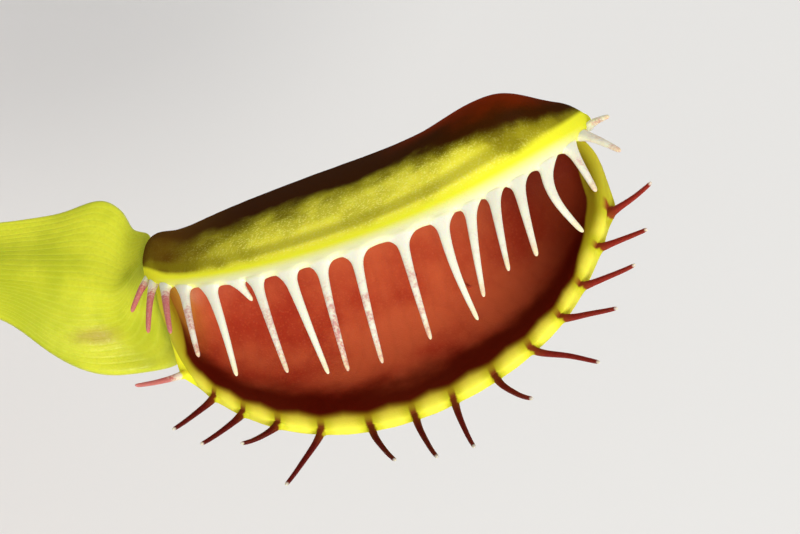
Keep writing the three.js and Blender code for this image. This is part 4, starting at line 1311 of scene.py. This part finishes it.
peat_body = Cage()
profile = [(0, 2.35), (20, 2.35), (29.6, 2.5), (TOP_RADIUS - 0.6, 66), (TOP_RADIUS, 68.6)]
profile += [(TOP_RADIUS - 0.25 - d, SOIL_TOP) for d in np.linspace(0, TOP_RADIUS - 2, MOUND_RINGS)]
profile += [(0, SOIL_TOP)]
add_turned(peat_body, profile, MOUND_SIDES, clods_at)
peat_body.make("peat_mound", 1, peat_look, "peat", ["peat"])
print("points on the peat's top:", MOUND_RINGS * MOUND_SIDES)

# %% Crumbs and grains
CRUMBS, GRAINS = 750, 46
rng = random.Random(11)


def add_lump(cage, place, size, sink, squash, roughness, **values):
    """A small uneven lump on the peat, made from an icosphere whose points are pushed in and out."""
    centre = np.array((*place, peat_top(*place) + sink * size))
    ball = bmesh.new()
    bmesh.ops.create_icosphere(ball, subdivisions=1, radius=1)
    turn = Vector((rng.random(), rng.random(), rng.random() + 0.1)).to_track_quat("Z", "X")
    stretch = [1 + rng.uniform(-0.35, 0.35) for _ in range(2)] + [squash]
    ids = []
    for vertex in ball.verts:
        push = 1 + roughness * rng.uniform(-1, 1)
        p = turn @ Vector([c * s * push for c, s in zip(vertex.co, stretch)])
        ids.append(cage.point(centre + size * np.array(p), **values))
    for face in ball.faces:
        cage.face(*[ids[v.index] for v in face.verts])
    ball.free()


def spot_on_peat(inner=11.5, outer=39):
    r = math.sqrt(rng.uniform(inner**2, outer**2))
    angle = rng.uniform(0, 2 * math.pi)
    return r * math.cos(angle), r * math.sin(angle)


crumbs = Cage("shade")
for _ in range(CRUMBS):
    place = spot_on_peat()
    size = rng.choice((0.3, 0.4, 0.5, 0.6, 0.9))
    add_lump(crumbs, place, size, 0.3, 0.75, 0.3, shade=rng.random())
crumbs.make("peat_crumbs", 1, peat_look, "peat", ["peat"])

grit = Cage("shade")
for _ in range(GRAINS):
    place = spot_on_peat()
    size = rng.uniform(0.45, 1.05)
    add_lump(grit, place, size, 0.25, 0.8, 0.22, shade=rng.random())
grit.make("pale_grit", 1, grit_look, "peat", ["peat"])
print("crumbs and grains:", CRUMBS + GRAINS)

# %% Moss
TUFTS, MOSS_SIDES = 34, 4
MOSS_EDGE = 39  # mm from the pot's axis

moss = Cage("tooth", "shade")
for _ in range(TUFTS):
    x, y = spot_on_peat(13, 38.5)
    spread = rng.uniform(0.8, 1.8)
    for _ in range(int(12 * spread)):
        a, b = rng.gauss(0, spread * 0.5), rng.gauss(0, spread * 0.5)
        if math.hypot(x + a, y + b) > MOSS_EDGE:
            continue
        start = np.array([x + a, y + b, peat_top(x + a, y + b)])
        lean = np.array([rng.uniform(-1, 1), rng.uniform(-1, 1), 0])
        direction = unit(np.array([a * 0.35, b * 0.35, 1]) + 0.2 * lean)
        way = unit(np.cross(direction, [rng.uniform(-1, 1), rng.uniform(-1, 1), 0.01]))
        long = rng.uniform(0.8, 1.7)
        add_spike(moss, start, direction, way, long, 0.2, 0.3, MOSS_SIDES, shade=rng.random())
moss.make("moss_tufts", 0, moss_look, "peat")
print("moss leaves:", len(moss.points) // (len(SPIKE_RINGS) * MOSS_SIDES + 1))

# %% [markdown]
# ## Pot
# The pot is one piece of moulded plastic: a tapered wall, a stepped band and a rolled lip. A bevel modifier
# could round its corners, but here each corner of the turned profile has two close points, so that it comes
# out slightly round, as a mould makes it. The six drain holes are cut with a boolean modifier, and its
# result is kept as the mesh.

# %% The pot's finish
plastic, tree, shader, spot = new_finish("moulded plastic")
height = height_of(spot)
faded = use(clouds, Place=spot, Scale=38.0, Detail=5.0, Low=0.35, High=0.68)
flecks = use(specks, Place=spot, Scale=1500.0, Size=0.16, Softness=0.12)
splash = use(clouds, Place=spot, Scale=130.0, Detail=8.0, Low=0.52, High=0.68)
scuffs = use(clouds, Place=spot, Scale=420.0, Detail=6.0, Low=0.45, High=0.7)
low_part, below_lip = soft_step(height, 0.03, 0.002), soft_step(height, 0.0815, 0.0775)
pot_colour = paint(
    (0.25, 0.070, 0.033), (faded, (0.33, 0.105, 0.052)), (times(flecks, 0.3), (0.14, 0.035, 0.018)),
    (times(splash, low_part, 0.13), (0.42, 0.33, 0.25)), (times(splash, below_lip, 0.15), (0.50, 0.42, 0.34)))
worn = plus(0.42, plus(times(scuffs, 0.14), times(splash, 0.2)))
waves = {"Vector": spot, "Scale": 90.0, "Distortion": 1.2, "Detail": 1.0}
mould_rings = add(tree, "ShaderNodeTexWave", waves, bands_direction="Z").outputs["Fac"]
relief = plus(use(grain, Place=spot, Coarse=1300.0, Fine=4200.0, Balance=0.5), times(mould_rings, 0.12))
feed(shader, Base_Color=pot_colour, Roughness=worn, Normal=bumps(relief, 0.25, 0.00025))
print("nodes in the pot's finish:", len(tree.nodes))

# %% The pot's form
POT_PROFILE = [
    (0, 0), (15, 0), (17, 0), (25, 0), (27, 0), (29.4, 0), (30, 0.05), (30.7, 0.4), (31, 1), (31.3, 2.8),
    (36.4, 34), (41.6, 65.8), (41.95, 67.6), (42.2, 68.05), (43.2, 68.3), (43.55, 68.7), (43.6, 69.4),
    (43.6, 73.5), (43.6, 77), (43.65, 77.6), (43.95, 77.85), (44.7, 77.95), (44.95, 78.25), (45, 78.7),
    (45, 79.3), (44.85, 79.75), (44.4, 80), (43.8, 80), (42.6, 80), (42.15, 79.85), (42, 79.4), (42, 75),
    (42, 71.2), (41.9, 70.4), (41.3, 69.6), (40.6, 69.1), (40.35, 68.5), (34.8, 34), (29.9, 3.2), (29.5, 2.3),
    (28.6, 2), (25, 2), (17, 2), (15, 2), (0, 2),
]
pot_cage = Cage()
add_turned(pot_cage, POT_PROFILE, 64)
rough_pot = pot_cage.make("pot_blank", 1)
print("corners in the pot's profile:", len(POT_PROFILE))

# %% The drain holes
HOLES, HOLE_CIRCLE, HOLE_RADIUS, HOLE_SIDES = 6, 21, 3.5, 24
HOLE_ENDS = (-3, 5)  # above and below the pot's floor

hole_cage = Cage()
for k in range(HOLES):
    angle = 2 * math.pi * (k + 0.5) / HOLES
    low, high = [], []
    for a, b in circle(HOLE_SIDES):
        x = HOLE_CIRCLE * math.cos(angle) + HOLE_RADIUS * a
        y = HOLE_CIRCLE * math.sin(angle) + HOLE_RADIUS * b
        low.append(hole_cage.point((x, y, HOLE_ENDS[0])))
        high.append(hole_cage.point((x, y, HOLE_ENDS[1])))
    hole_cage.tube(low, high)
    hole_cage.face(*low[::-1])
    hole_cage.face(*high)
holes = hole_cage.make("drain_holes")
print("drain holes:", HOLES)

# %% Cut the holes and keep the result
cut = rough_pot.modifiers.new("holes", "BOOLEAN")
cut.object, cut.operation, cut.solver = holes, "DIFFERENCE", "EXACT"
bpy.context.view_layer.update()
pot_mesh = bpy.data.meshes.new_from_object(rough_pot.evaluated_get(bpy.context.evaluated_depsgraph_get()))
pot_mesh.name = "pot_moulded"
pot_mesh.materials.append(plastic)
pot_mesh.set_sharp_from_angle(angle=math.radians(40))
pot = bpy.data.objects.new("pot_moulded", pot_mesh)
bpy.context.scene.collection.objects.link(pot)
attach(pot, "root")
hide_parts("pot")
for helper in (rough_pot, holes):
    bpy.data.objects.remove(helper, do_unlink=True)
print("pot faces:", len(pot_mesh.polygons))
